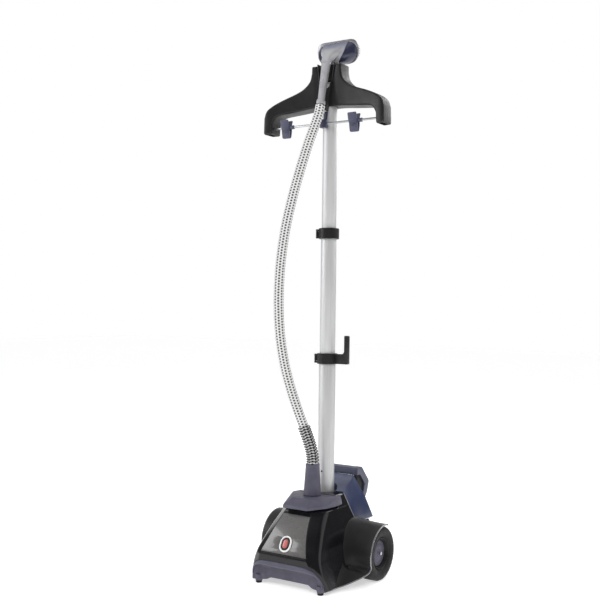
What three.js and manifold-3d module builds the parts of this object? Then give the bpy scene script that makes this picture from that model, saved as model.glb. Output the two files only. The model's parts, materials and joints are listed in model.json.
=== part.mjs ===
// Upright garment steamer: a wheeled base with a lift-out water tank, a three-section telescopic pole,
// a hanger with a clip rod, and a hand-held steam head on a braided hose.
// Millimetres, +Z up, front towards -Y. The origin is on the floor at the middle of the footprint, and
// the pieces are laid out from the pole's axis, which is POLE_Y behind it.
import * as THREE from 'three';
import { mergeVertices } from 'three/addons/utils/BufferGeometryUtils.js';
import { ConvexGeometry } from 'three/addons/geometries/ConvexGeometry.js';
import Module from 'manifold-3d';

const wasm = await Module();
wasm.setup();

// ---------------------------------------------------------------- driving dimensions
const POLE_Y = 39.3;             // the pole's axis behind the origin
const GAP = 0.4;                 // clearance kept between neighbouring pieces
const WALL = 3;                  // moulded wall thickness
const FACETS = 24;               // facets on round parts
const FINE_FACETS = 36;          // facets on the wheels and their fenders
const COARSE_FACETS = 16;        // facets on pins, bores and small tubes

// base
const BASE_TOP = 249;            // top of the cap round the pole
const SHOULDER_TOP = 250;        // top edge of the black shell
const SHOULDER_HALF = 65;        // half-width of the shell at its top edge
const SIDE_SLOPE = 0.28;         // how far the side walls lean in, per mm of height
const REAR_Y = 122;              // rear wall
const TANK_FRONT_Y = 34;         // where the tank's front face meets its deck
const TANK_NOTCH = 35;           // radius of the tank's notch round the pole
const TANK_LEAN = 0.387;         // how far that face leans forward, per mm of height
const CHIMNEY_R = 31.5;          // the collar of the shell round the pole
const DECK_Z = 157;              // deck that the tank stands on
const CAP_Z = 218;               // underside of the top cap
const CAP_BACK_Y = -30;          // its rear edge
const CAP_ROUND = 33;            // its radius round the pole
// height, corner y, half-width of the front flat, front y
const SECTIONS = [
  [14, -200, 94, -217],
  [72, -216, 86, -230],
  [104, -209, 78, -228],
  [131, -190, 68, -215],
  [170, -158, 56, -190],
  [212, -114, 45, -153],
];

const VALVE_Y = 85;              // the valve between the tank and the pump
const CORD_EXIT = [-60, REAR_Y, 52];

// wheels
const WHEEL_R = 80;
const AXLE_Y = 25;
const WHEEL_IN = 133;            // inner face of the tyre
const WHEEL_OUT = 186;           // outer face of the tyre
const TYRE_BORE = 48;
const AXLE_R = 5;
const BEARING_X = [88, 100];     // the axle's bearing blocks
const FENDER_R = 87.5;
const FENDER_OUT = 190;

// pole: outer radius and wall of the three aluminium tubes
const TUBE_WALL = 1.2;
const LOWER_R = 25.3;
const MIDDLE_R = 23.7;
const UPPER_R = 22.1;
const LOWER_Z = [130, 660];
const MIDDLE_Z = [590, 1040];
const UPPER_Z = [935, 1490];
const COLLAR_R = 31.5;
const COLLAR_H = 32;
const LOWER_COLLAR_Z = 636;
const UPPER_COLLAR_Z = 1016;
const LEVER_T = 3.2;
const LEVER_PIN = [-35.5, -11.5];
const PIN_Z = 312;               // height of the snap pin in the lower tube

// hose: a strain relief spring wraps its first stretch
const HOSE_R = 15;
const SPRING_R = 19.5;
const SPRING_LENGTH = 115;
const SOCKET_Y = -77;
const SOCKET_TOP = 342;
const HOSE_ROUTE = [
  [0, -77, 343], [0, -77, 353], [-2, -78.5, 374], [-7, -83, 400], [-20, -95, 450], [-34, -108, 500], [-52, -124, 570],
  [-66, -136, 640], [-76, -145, 720], [-80, -149, 800], [-80, -149, 870], [-76, -146, 950],
  [-67, -138, 1040], [-53, -125, 1130], [-38, -110, 1210], [-22, -92, 1290], [-9, -75, 1350],
  [-2, -65, 1385], [0, -58.6, 1411],
];

// hanger
const HANGER_D = 56;             // depth at the middle
const HANGER_END_D = 54;         // depth at the ends
const HANGER_SWEEP = 28;         // how far the ends come forward
const HANGER_HALF = 211;         // half-width
const ROD_R = 3.4;
const ROD_Y = -37;
const ROD_Z = 1361;
const ROD_HALF = 182;
const CLIP_X = [-136, 104];

// steam head
const HANDLE_LOW = [0, -53, 1432];
const HANDLE_TILT = THREE.MathUtils.degToRad(-13.7);
const HEAD_CENTRE = [0, 28.6, 1588];
const HEAD_TILT = THREE.MathUtils.degToRad(20);

// ---------------------------------------------------------------- finishes
const FINISH = {
  glossBlack: [0x0b0b0d, 0.12, 0.0],
  satinBlack: [0x17181a, 0.45, 0.0],
  softBlack: [0x141416, 0.75, 0.0],
  blueGrey: [0x454658, 0.5, 0.0],
  lightBlueGrey: [0x6f7385, 0.5, 0.0],
  smoke: [0x33322f, 0.2, 0.1],
  silver: [0xb9bcc0, 0.35, 0.6],
  aluminium: [0xcfd0d0, 0.3, 0.9],
  steel: [0x9fa3a8, 0.35, 0.9],
  castMetal: [0x8c8f92, 0.55, 0.8],
  white: [0xf2f2f2, 0.35, 0.0],
  red: [0xd86a6a, 0.3, 0.0],
  tankBlue: [0x3d4c7d, 0.15, 0.0],
  rubber: [0x1b1b1c, 0.85, 0.0],
  silicone: [0xd8d8d2, 0.6, 0.0],
  navy: [0x20223c, 0.3, 0.0],
  inlay: [0xb4b4b8, 0.35, 0.2],
  braid: [0xe6e6e4, 0.9, 0.0],
};

function finish(name) {
  const [color, roughness, metalness] = FINISH[name];
  return new THREE.MeshStandardMaterial({ color, roughness, metalness });
}

// ---------------------------------------------------------------- solids and booleans
function closedGeometry(geometry) {
  const bare = new THREE.BufferGeometry();
  bare.setAttribute('position', geometry.getAttribute('position'));
  if (geometry.index) bare.setIndex(geometry.index);
  return mergeVertices(bare, 1e-3);
}

// Six times the enclosed volume, positive when the faces point out.
function signedVolume(geometry) {
  const p = geometry.getAttribute('position');
  const index = geometry.index;
  const [a, b, c] = [new THREE.Vector3(), new THREE.Vector3(), new THREE.Vector3()];
  let sum = 0;
  for (let i = 0; i < index.count; i += 3) {
    a.fromBufferAttribute(p, index.getX(i));
    b.fromBufferAttribute(p, index.getX(i + 1));
    c.fromBufferAttribute(p, index.getX(i + 2));
    sum += a.dot(b.cross(c));
  }
  return sum;
}

function solid(geometry) {
  const closed = closedGeometry(geometry);
  const triVerts = new Uint32Array(closed.index.array);
  if (signedVolume(closed) < 0) {
    for (let i = 0; i < triVerts.length; i += 3) {
      [triVerts[i + 1], triVerts[i + 2]] = [triVerts[i + 2], triVerts[i + 1]];
    }
  }
  const vertProperties = new Float32Array(closed.getAttribute('position').array);
  return new wasm.Manifold(new wasm.Mesh({ numProp: 3, vertProperties, triVerts }));
}

function geometryOf(body) {
  const mesh = body.getMesh();
  const geometry = new THREE.BufferGeometry();
  geometry.setAttribute('position', new THREE.BufferAttribute(mesh.vertProperties, 3));
  geometry.setIndex(new THREE.BufferAttribute(mesh.triVerts, 1));
  geometry.computeVertexNormals();
  return geometry;
}

const join = (first, ...rest) => rest.reduce((sum, next) => sum.add(next), first);
const cut = (first, ...rest) => rest.reduce((left, next) => left.subtract(next), first);

// ---------------------------------------------------------------- primitives
// The points and their mirror images in X.
const both = (points) => points.flatMap(([x, y, z]) => (x ? [[x, y, z], [-x, y, z]] : [[x, y, z]]));

// The span on one side of the middle, in rising order.
const onSide = (side, [x0, x1]) => (side > 0 ? [x0, x1] : [-x1, -x0]);

const hull = (points) => solid(new ConvexGeometry(points.map((p) => new THREE.Vector3(...p))));

function block(x, y, z) {
  const box = new THREE.BoxGeometry(x[1] - x[0], y[1] - y[0], z[1] - z[0]);
  return solid(box.translate((x[0] + x[1]) / 2, (y[0] + y[1]) / 2, (z[0] + z[1]) / 2));
}

// A solid of revolution about Z from [radius, z] points that start and end on the axis.
function revolve(profile, facets = FACETS) {
  const lathe = new THREE.LatheGeometry(profile.map(([r, z]) => new THREE.Vector2(r, z)), facets);
  return lathe.rotateX(Math.PI / 2);
}

function cylinder(radius, z0, z1, facets = FACETS) {
  return revolve([[0, z0], [radius, z0], [radius, z1], [0, z1]], facets);
}

// A ring about Z from a closed loop of [radius, z] points.
function ring(loop, facets = FACETS) {
  return revolve([...loop, loop[0]], facets);
}

function tube(outer, inner, z0, z1, facets = FACETS) {
  return ring([[outer, z0], [outer, z1], [inner, z1], [inner, z0]], facets);
}

const alongX = (geometry) => geometry.rotateY(Math.PI / 2);
const alongY = (geometry) => geometry.rotateX(-Math.PI / 2);
const at = (geometry, x, y, z) => geometry.translate(x, y, z);

const shapeOf = (points) => new THREE.Shape(points.map(([x, y]) => new THREE.Vector2(x, y)));

// An outline in X and Y, raised from z0 to z1.
function raised(points, z0, z1) {
  const shape = points instanceof THREE.Shape ? points : shapeOf(points);
  return new THREE.ExtrudeGeometry(shape, { depth: z1 - z0, bevelEnabled: false, curveSegments: 4 })
    .translate(0, 0, z0);
}

// An outline in X and Z, run from y0 to y1.
function runAlongY(points, y0, y1) {
  return raised(points, -y1, -y0).rotateX(Math.PI / 2);
}

// An outline in Y and Z, run from x0 to x1.
function runAlongX(points, x0, x1) {
  return raised(points, x0, x1).rotateX(Math.PI / 2).rotateZ(Math.PI / 2);
}

function stadium(width, height) {
  const r = width / 2;
  const flat = (height - width) / 2;
  const shape = new THREE.Shape();
  shape.absarc(0, flat, r, 0, Math.PI, false);
  shape.absarc(0, -flat, r, Math.PI, 2 * Math.PI, false);
  shape.closePath();
  return shape;
}

const smooth = (points) => new THREE.CatmullRomCurve3(points.map((p) => new THREE.Vector3(...p)));

// The stretch of a curve between two distances along it.
class Stretch extends THREE.Curve {
  constructor(whole, from, to) {
    super();
    const length = whole.getLength();
    Object.assign(this, { whole, from: from / length, to: to / length });
  }

  getPoint(t, target = new THREE.Vector3()) {
    return this.whole.getPointAt(this.from + (this.to - this.from) * t, target);
  }
}

// A round rod along a curve.
function sweep(curve, radius, sides, steps) {
  const section = new THREE.Shape();
  section.absarc(0, 0, radius, 0, 2 * Math.PI, false);
  return new THREE.ExtrudeGeometry(section, { steps, extrudePath: curve, curveSegments: sides / 2 });
}

// ---------------------------------------------------------------- the part and its nodes
const steamer = new THREE.Group();
const fromPole = new THREE.Group();
fromPole.position.y = POLE_Y;
steamer.add(fromPole);

function add(name, shape, finishName, parent = fromPole) {
  const geometry = shape instanceof THREE.BufferGeometry ? shape : geometryOf(shape);
  const mesh = new THREE.Mesh(geometry, finish(finishName));
  mesh.name = name;
  parent.add(mesh);
  return mesh;
}

// ---------------------------------------------------------------- base shell
const sideX = (z) => SHOULDER_HALF + SIDE_SLOPE * (SHOULDER_TOP - z);
const tankFrontY = (z) => TANK_FRONT_Y - (z - DECK_Z) * TANK_LEAN;

// The front body, shrunk on every side by inset.
function frontBody(inset) {
  const points = [];
  for (const [z, cornerY, flat, frontY] of SECTIONS) {
    points.push([sideX(z) - inset, cornerY + inset, z], [flat - inset / 2, frontY + inset, z]);
  }
  const top = SHOULDER_TOP - inset;
  for (const z of [SECTIONS[0][0], DECK_Z, top]) {
    points.push([sideX(z) - inset, tankFrontY(Math.max(z, DECK_Z)) - inset, z]);
  }
  points.push([SHOULDER_HALF - inset, -30, top]);
  return hull(both(points));
}

function rearBody(inset) {
  const top = DECK_Z - inset;
  const low = SECTIONS[0][0];
  return hull(both([
    [sideX(low) - inset, 0, low], [sideX(low) - inset, REAR_Y - inset, low],
    [sideX(top) - inset, 0, top], [sideX(top) - inset, REAR_Y - inset, top],
  ]));
}

// Cylinder about the wheel axle.
function aboutAxle(geometry) {
  return solid(at(alongX(geometry), 0, AXLE_Y, WHEEL_R));
}

// One wheel fender: a band over the front of the wheel, a deck over its top and a flare below.
function fender(side) {
  const [near, far] = onSide(side, [95, FENDER_OUT]);
  const band = aboutAxle(tube(FENDER_R, FENDER_R - WALL - 1, near, far, FINE_FACETS));
  const reach = FENDER_R + 20;
  const wedge = [[0, 0], [reach * 0.18, reach], [-reach, reach], [-reach, -reach * 0.62]];
  const sector = solid(at(runAlongX(wedge, near, far), 0, AXLE_Y, WHEEL_R));
  const deck = hull([
    [88, 20, 153], [88, 20, 157], [88, 108, 153], [88, 108, 157], [FENDER_OUT, 20, 161],
    [FENDER_OUT, 20, 167], [FENDER_OUT, 40, 161], [FENDER_OUT, 40, 166],
  ].map(([x, y, z]) => [side * x, y, z]));
  const over = aboutAxle(cylinder(WHEEL_R + 1.5, near - 1, far + 1, FINE_FACETS));
  const flare = hull([
    [118, -196, 14], [124, -196, 14], [120, -196, 46], [112, -150, 52], [108, -62, 62],
    [140, -112, 22], [174, -68, 42], [FENDER_OUT, -64, 52], [FENDER_OUT, -62, 66], [120, -62, 30],
  ].map(([x, y, z]) => [side * x, y, z]));
  return [join(band.intersect(sector), cut(deck, over)), flare];
}

// The arch in X and Z that the front skirt fills.
function archOutline(grow) {
  const right = [[0, 80], [70, 79], [100, 66], [116, 46], [124, 14]];
  const low = -10;
  const grown = right.map(([x, z]) => [x && x + grow, z + grow]);
  const mirrored = grown.slice(1).reverse().map(([x, z]) => [-x, z]);
  const side = grown.at(-1)[0];
  return [[-side, low], ...mirrored, ...grown, [side, low]];
}

const panelOutline = (grow) => [
  [-78 - grow, 104 - grow], [78 + grow, 104 - grow], [47 + grow, 205 + grow], [-47 - grow, 205 + grow],
];

// Outline of the top cap in X and Y, with its top edge set back.
function capBody(grow, top) {
  const foot = [[42, -172], [74, -106], [81, -60], [78, CAP_BACK_Y]];
  const edge = [[30, -136], [60, -96], [78, -62], [70, CAP_BACK_Y]];
  const points = [];
  for (const [outline, z] of [[foot, CAP_Z - grow], [foot, CAP_Z + 12], [edge, top]]) {
    for (const [x, y] of outline) points.push([x + grow, y < CAP_BACK_Y ? y - grow : y + grow, z]);
  }
  const round = solid(cylinder(CAP_ROUND + grow, CAP_Z - grow, top));
  return join(hull(both(points)), round);
}

const BUTTON = { y: -215.3, z: 131, tilt: THREE.MathUtils.degToRad(60.5) };

// Moves a geometry built round the local Z axis to the button's place on the front panel.
function onPanel(geometry) {
  return geometry.rotateX(BUTTON.tilt).translate(0, BUTTON.y, BUTTON.z);
}

function addBase() {
  const [fenderRight, flareRight] = fender(1);
  const [fenderLeft, flareLeft] = fender(-1);
  const chimney = solid(cylinder(CHIMNEY_R, DECK_Z - 10, SHOULDER_TOP));
  const outer = join(frontBody(0), rearBody(0), chimney, fenderRight, fenderLeft, flareRight, flareLeft);
  const inner = join(frontBody(WALL), rearBody(WALL));
  const below = block([-130, 130], [-240, REAR_Y - WALL], [-20, 18]);
  const arch = solid(runAlongY(archOutline(GAP), -260, -150));
  const panelCut = solid(runAlongY(panelOutline(GAP), -260, -100));
  const panelBed = cut(panelCut, frontBody(WALL + GAP));
  const capCut = join(capBody(GAP, SHOULDER_TOP + 20), block([-29, 29], [-150, 30], [CAP_Z - 3, 300]));
  const poleHole = solid(cylinder(LOWER_R + GAP, 150, 300));
  const axleHole = aboutAxle(cylinder(AXLE_R + GAP, -200, 200));
  const buttonHole = solid(onPanel(raised(stadium(27, 37), -30, 20)));
  const seatHole = solid(at(cylinder(17, DECK_Z - 20, DECK_Z + 10), 0, VALVE_Y, 0));
  const cordHole = solid(at(alongY(cylinder(8.4, -10, 10)), ...CORD_EXIT));
  const shell = cut(outer, inner, below, arch, panelBed, capCut, poleHole, axleHole, buttonHole,
    seatHole, cordHole);
  add('body_shell', shell, 'glossBlack');

  const panel = cut(frontBody(0).intersect(solid(runAlongY(panelOutline(0), -260, -100))),
    frontBody(WALL), buttonHole);
  add('control_panel', panel, 'smoke');

  const capHoles = [
    solid(cylinder(LOWER_R + GAP, 150, 300)),
    solid(at(cylinder(15, 150, 300), 0, SOCKET_Y, 0)),
    block([-24, 24], [-112, -30], [CAP_Z - 2, CAP_Z + 24]),
  ];
  add('top_cap', cut(capBody(0, BASE_TOP), ...capHoles), 'blueGrey');
}

function addSkirt() {
  const archFill = solid(runAlongY(archOutline(0), -260, -186));
  const recess = hull(both([
    [112, -260, -20], [104, -260, 40], [80, -260, 62], [0, -260, 65], [74, -191, -20],
    [70, -191, 40], [56, -191, 54], [0, -191, 58],
  ]));
  const legCut = block([-74, 74], [-260, -180], [-20, 20]);
  const belly = frontBody(0).intersect(archFill);
  const sole = block([-140, 140], [-260, -100], [-20, 6]);
  add('front_skirt', cut(belly, recess, legCut, sole), 'blueGrey');
  for (const side of [-1, 1]) {
    const name = side < 0 ? 'left' : 'right';
    add(`foot_${name}`, at(cylinder(9, 0, SECTIONS[0][0] - 0.3), side * 106, -196, 0), 'rubber');
  }
}

// The grey trim under one side of the shell and round the front of its fender.
function addTrim(side) {
  const middle = new THREE.Vector2(AXLE_Y, WHEEL_R);
  const points = [[121, -199, 10], [130, -153, 10], [145, -114, 17], [183, -73, 36]];
  for (const angle of [208, 190, 170, 150, 130, 110, 95, 84]) {
    const turn = THREE.MathUtils.degToRad(angle);
    points.push([
      FENDER_OUT + 3.4,
      middle.x + (FENDER_R - 2) * Math.cos(turn),
      middle.y + (FENDER_R - 2) * Math.sin(turn),
    ]);
  }
  const path = smooth(points.map(([x, y, z]) => [side * x, y, z]));
  add(`side_trim_${side < 0 ? 'left' : 'right'}`, sweep(path, 2.6, 6, 24), 'silver');
}

function addButton() {
  const bezel = cut(solid(onPanel(raised(stadium(38, 48), 0.4, 4))),
    solid(onPanel(raised(stadium(27, 37), -30, 20))));
  add('button_bezel', bezel, 'white');
  const cap = cut(solid(onPanel(raised(stadium(26, 36), -12, 4.5))),
    solid(onPanel(raised(stadium(14, 23), 1.2, 10))));
  const stem = solid(onPanel(cylinder(4, -16, -11.8, COARSE_FACETS)));
  add('power_button', join(cap, stem), 'satinBlack');
  add('power_lamp', onPanel(raised(stadium(13.4, 22.4), 1.6, 5)), 'red');
  add('button_spring', onPanel(tube(8, 6.6, -19.4, -12.3, COARSE_FACETS)), 'steel');
  const body = solid(onPanel(raised([[-14, -11], [14, -11], [14, 11], [-14, 11]], -36, -19.8)));
  add('switch_block', body, 'satinBlack');
}

// ---------------------------------------------------------------- inside the base
function addInside() {
  const floorPlan = (inset, z) => [
    [sideX(20) - WALL - 1 - inset, -180 + inset, z], [sideX(20) - WALL - 1 - inset, 116 - inset, z],
  ];
  const hollow = [...floorPlan(WALL + 0.5, 21), ...floorPlan(WALL + 4, 34), ...floorPlan(WALL + 4, 60)];
  const tray = cut(hull(both([...floorPlan(0.5, 18), ...floorPlan(4, 34)])), hull(both(hollow)));
  const bearings = [-1, 1].map((side) =>
    block(onSide(side, BEARING_X), [AXLE_Y - 14, AXLE_Y + 14], [20, WHEEL_R + 12]));
  const posts = both([[44, -150, 0], [44, -50, 0]])
    .map(([x, y]) => solid(at(cylinder(6, 20, 43.6, 12), x, y, 0)));
  const axleHole = aboutAxle(cylinder(AXLE_R + GAP, -200, 200));
  add('base_pan', cut(join(tray, ...bearings, ...posts), axleHole), 'softBlack');

  const axle = cylinder(AXLE_R, -180, 180);
  add('wheel_axle', at(alongX(axle), 0, AXLE_Y, WHEEL_R), 'steel');

  const receiver = cut(
    join(solid(cylinder(30, 118, 146)), block([-84, 84], [-12, 12], [118, 123])),
    solid(cylinder(LOWER_R + GAP, LOWER_Z[0] - GAP, 160)), solid(cylinder(14, 100, 160)),
  );
  add('pole_receiver', receiver, 'softBlack');

  const boilerBody = (inset) => hull(both([
    [52 - inset, -160 + inset, 44 + inset], [52 - inset, -40 - inset, 44 + inset],
    [52 - inset, -160 + inset, 92], [52 - inset, -40 - inset, 92],
    [40 - inset, -150 + inset, 104 - inset], [40 - inset, -50 - inset, 104 - inset],
  ]));
  const outlet = solid(at(cylinder(6.4, 90, 120, COARSE_FACETS), 0, -100, 0));
  const boiler = cut(boilerBody(0), boilerBody(9), outlet);
  add('boiler', boiler, 'castMetal');

  const loop = [[-30, -39.4, 66], [-30, -23, 66], [-28, -17, 66], [0, -13, 66], [28, -17, 66],
    [30, -23, 66], [30, -39.4, 66]];
  add('heater_element', sweep(smooth(loop), 3.8, 8, 14), 'steel');
  const thermostat = join(solid(at(cylinder(9, 104.4, 112, COARSE_FACETS), 26, -70, 0)),
    block([16, 36], [-80, -60], [104.4, 106]));
  add('thermostat', thermostat, 'steel');
  add('water_pump', join(block([-24, 24], [62, 104], [21.4, 66]),
    solid(at(cylinder(7, 60, 74, COARSE_FACETS), 0, VALVE_Y, 0))), 'satinBlack');

  const seat = cut(
    join(solid(cylinder(16.4, 130, DECK_Z - 0.5)), solid(cylinder(22, 150, DECK_Z - WALL - 0.5))),
    solid(cylinder(13, 136, 170)), solid(cylinder(4, 120, 170, 8)),
  );
  add('valve_seat', geometryOf(seat).translate(0, VALVE_Y, 0), 'rubber');
  const feed = [[0, 85, 129.6], [0, 85, 118], [0, 86, 104], [0, 86, 92], [0, 85, 82], [0, 85, 74.4]];
  add('feed_tube', sweep(smooth(feed), 5.5, 8, 8), 'silicone');
  const steam = [[0, -100, 104.4], [0, -100, 120], [0, -98, 140], [0, -88, 165], [0, -79, 190],
    [0, SOCKET_Y, 205], [0, SOCKET_Y, 219.6]];
  add('steam_tube', sweep(smooth(steam), 6, 8, 14), 'silicone');

  const gland = join(solid(alongY(cylinder(8, -WALL - 6, 1))), solid(alongY(cylinder(12, GAP, 5))));
  const bore = solid(alongY(cylinder(4, -20, 20, 8)));
  add('cord_gland', geometryOf(cut(gland, bore)).translate(...CORD_EXIT), 'rubber');
}

// ---------------------------------------------------------------- wheels
function addWheel(side) {
  const name = side < 0 ? 'left' : 'right';
  const placed = (geometry) => {
    const turned = alongX(geometry);
    if (side < 0) turned.rotateZ(Math.PI);
    return at(turned, 0, AXLE_Y, WHEEL_R);
  };
  const tyre = [[TYRE_BORE, WHEEL_IN], [WHEEL_R - 5, WHEEL_IN], [WHEEL_R, WHEEL_IN + 6],
    [WHEEL_R, WHEEL_OUT - 9], [WHEEL_R - 4, WHEEL_OUT - 2], [WHEEL_R - 11, WHEEL_OUT],
    [TYRE_BORE + 1, WHEEL_OUT - 3]];
  add(`tyre_${name}`, placed(ring(tyre, FINE_FACETS)), 'rubber');
  const rim = TYRE_BORE - GAP;
  const hub = [[AXLE_R + GAP, 128], [14, 128], [14, 146], [rim - 6, 150], [rim - 6, WHEEL_IN + 4],
    [rim, WHEEL_IN + 4], [rim, 180], [rim - 4, 180], [rim - 8, 166], [AXLE_R + GAP, 166]];
  add(`hub_${name}`, placed(ring(hub)), 'softBlack');
  const cap = [[0, 180.4], [7, 180.4], [7, 166.4], [38, 166.4], [38, 169.5], [34, 171.5], [9, 172.5],
    [7, 183], [0, 183]];
  add(`hub_cap_${name}`, placed(revolve(cap)), 'blueGrey');
}

// ---------------------------------------------------------------- water tank
function tankBody(inset) {
  const halfWidth = (z) => sideX(z) - inset;
  const rows = [[TANK_FRONT_Y + GAP, DECK_Z + 1], [-1, SHOULDER_TOP + 3], [77, 292], [118, 222],
    [137, DECK_Z + 1]];
  const centre = [68, 215];
  const shrink = (v, c) => v + Math.sign(c - v) * inset;
  return hull(both(rows.map(([y, z]) => [halfWidth(z), shrink(y, centre[0]), shrink(z, centre[1])])));
}

function addTank() {
  const notch = solid(cylinder(TANK_NOTCH, 100, 340));
  const innerNotch = solid(cylinder(TANK_NOTCH + WALL, 100, 340));
  const fill = solid(at(cylinder(14, 140, 200), 0, VALVE_Y, 0));
  const tank = cut(cut(tankBody(0), notch), cut(tankBody(WALL), innerNotch), fill);
  add('water_tank', tank, 'tankBlue');

  const valve = cut(
    join(solid(cylinder(13.4, DECK_Z + 0.6, 176)), solid(cylinder(12, 140, DECK_Z + 1))),
    solid(cylinder(5, 136, 190, 8)),
  );
  add('tank_valve', geometryOf(valve).translate(0, VALVE_Y, 0), 'lightBlueGrey');

  const arm = [[84, 297], [84, 307], [107, 309], [152, 262], [142, 234], [126, 214], [120.6, 226],
    [131, 240], [138, 259], [102, 298]];
  const arms = [-1, 1].map((side) => solid(runAlongX(arm, ...onSide(side, [49, 61]))));
  const bar = solid(runAlongX([[84, 298], [84, 307], [107, 309], [114, 301], [102, 297]], -61, 61));
  const foot = [[126.4, 214], [142, 234], [136.4, 246], [131, 240], [121, 226]];
  const lower = solid(runAlongX(foot, -61, 61));
  add('tank_handle', join(...arms, bar, cut(lower, tankBody(-GAP))), 'lightBlueGrey');
}

// ---------------------------------------------------------------- pole
function addPole() {
  const pinHole = solid(at(alongY(cylinder(3.4, -40, -15, COARSE_FACETS)), 0, 0, PIN_Z));
  const lower = cut(solid(tube(LOWER_R, LOWER_R - TUBE_WALL, ...LOWER_Z)), pinHole);
  add('pole_lower', lower, 'aluminium');
  add('pole_middle', tube(MIDDLE_R, MIDDLE_R - TUBE_WALL, ...MIDDLE_Z), 'aluminium');
  add('pole_upper', tube(UPPER_R, UPPER_R - TUBE_WALL, ...UPPER_Z), 'aluminium');
  const pin = join(solid(alongY(cylinder(3, -26.6, -9, COARSE_FACETS))),
    solid(alongY(cylinder(6, -20, -9, COARSE_FACETS))));
  add('snap_pin', geometryOf(pin).translate(0, 0, PIN_Z), 'satinBlack');
}

// A clamp collar: grips the outer tube below and guides the inner tube above.
function addCollar(name, z, outerTube, innerTube) {
  const step = outerTube === LOWER_R ? LOWER_Z[1] : MIDDLE_Z[1];
  const top = z + COLLAR_H;
  const body = join(
    solid(ring([[COLLAR_R, z], [COLLAR_R, top], [innerTube + GAP, top], [innerTube + GAP, step + GAP],
      [outerTube + GAP, step + GAP], [outerTube + GAP, z]])),
    block([-38.5, -28], [-15, -8], [z + 2, top - 2]),
  );
  const leverSlot = solid(tube(60, COLLAR_R + GAP, z + 8, top - 8));
  const aboutPin = (radius, z0, z1) => solid(at(cylinder(radius, z0, z1, COARSE_FACETS), ...LEVER_PIN, 0));
  add(`collar_${name}`, cut(body, leverSlot, aboutPin(2.2, z - 5, top + 5)), 'satinBlack');

  // The lever hugs the collar's left side and turns on its own pin through the collar's lug.
  const band = solid(tube(COLLAR_R + 0.8 + LEVER_T, COLLAR_R + 0.8, z + 8.4, top - 8.4));
  const reach = solid(raised([[0, 0], [-80, -22], [-80, 70], [-10, 70]], z, top));
  const arm = join(band.intersect(reach), aboutPin(3.4, z + 8.4, top - 8.4));
  const clear = cut(arm, solid(cylinder(COLLAR_R + 0.5, z, top)));
  add(`lever_${name}`, join(clear, aboutPin(1.9, z + 2.4, top - 2.4)), 'satinBlack');
}

function addHook() {
  const z = LOWER_COLLAR_Z;
  const outline = new THREE.Shape();
  outline.moveTo(27, z + 1);
  outline.lineTo(74, z + 1);
  outline.lineTo(74, z + 87);
  outline.lineTo(62, z + 87);
  outline.lineTo(62, z + 43);
  outline.quadraticCurveTo(62, z + 31, 50, z + 31);
  outline.lineTo(27, z + 31);
  outline.closePath();
  const arm = solid(runAlongY(outline, -6.5, 6.5));
  add('accessory_hook', cut(arm, solid(cylinder(COLLAR_R + GAP, z - 5, z + 90))), 'satinBlack');
}

// ---------------------------------------------------------------- hanger
const hangerMidY = (x) => -HANGER_SWEEP * Math.min(1, Math.abs(x) / 200) ** 1.6;
const hangerDepth = (x) => HANGER_D + (HANGER_END_D - HANGER_D) * Math.min(1, Math.abs(x) / 200);

// Half the front outline in X and Z, from the top of the horn round to the underside's middle.
const HANGER_OUTLINE = [
  [33, 1541], [51, 1541], [51, 1520], [58, 1496], [78, 1476], [104, 1463], [150, 1446], [182, 1431],
  [202, 1415], [210, 1396], [HANGER_HALF, 1344], [184, 1344], [182, 1378], [172, 1394], [155, 1400],
  [100, 1407], [40, 1414], [0, 1415],
];
const HANGER_DIP = [[0, 1500], [24, 1500]];

function hangerOutline(inset) {
  const outline = [...HANGER_DIP, ...HANGER_OUTLINE];
  const grown = outline.map(([x, z], i) => {
    const a = outline[Math.max(0, i - 1)];
    const b = outline[Math.min(outline.length - 1, i + 1)];
    const along = new THREE.Vector2(b[0] - a[0], b[1] - a[1]).normalize();
    return x === 0 ? [0, z - Math.sign(z - 1450) * inset] : [x + along.y * inset, z - along.x * inset];
  });
  const mirrored = grown.slice(1, -1).reverse().map(([x, z]) => [-x, z]);
  return [...grown, ...mirrored].reverse();
}

// The band in X and Y between two fractions of the hanger's depth, -1 at its front, +1 at its back.
function hangerBand(front, back, half) {
  const edge = (part) => {
    const points = [];
    for (let x = -half; x <= half + 0.01; x += half / 6) {
      points.push([x, hangerMidY(x) + (part * hangerDepth(x)) / 2]);
    }
    return points;
  };
  return [...edge(front), ...edge(back).reverse()];
}

const aboutRod = (radius, x0, x1) =>
  solid(at(alongX(cylinder(radius, x0, x1, COARSE_FACETS)), 0, ROD_Y, ROD_Z));

function addHanger() {
  const whole = solid(runAlongY(hangerOutline(0), -120, 80));
  const hollow = solid(runAlongY(hangerOutline(WALL), -120, 80));
  const inside = solid(raised(hangerBand(-0.88, 0.88, HANGER_HALF + 10), 1300, 1600));
  const poleHole = solid(cylinder(UPPER_R + GAP, 1300, UPPER_Z[1] + GAP));
  const cradle = cradleBody(GAP);
  const rodHole = aboutRod(ROD_R + 0.3, -ROD_HALF - 1, ROD_HALF + 1);
  for (const [name, front, back] of [['hanger_front', -1, -0.008], ['hanger_rear', 0.008, 1]]) {
    const band = solid(raised(hangerBand(front, back, HANGER_HALF + 10), 1300, 1600));
    const shell = cut(whole.intersect(band), hollow.intersect(inside), poleHole, cradle, rodHole);
    add(name, shell, 'satinBlack');
  }
}

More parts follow.
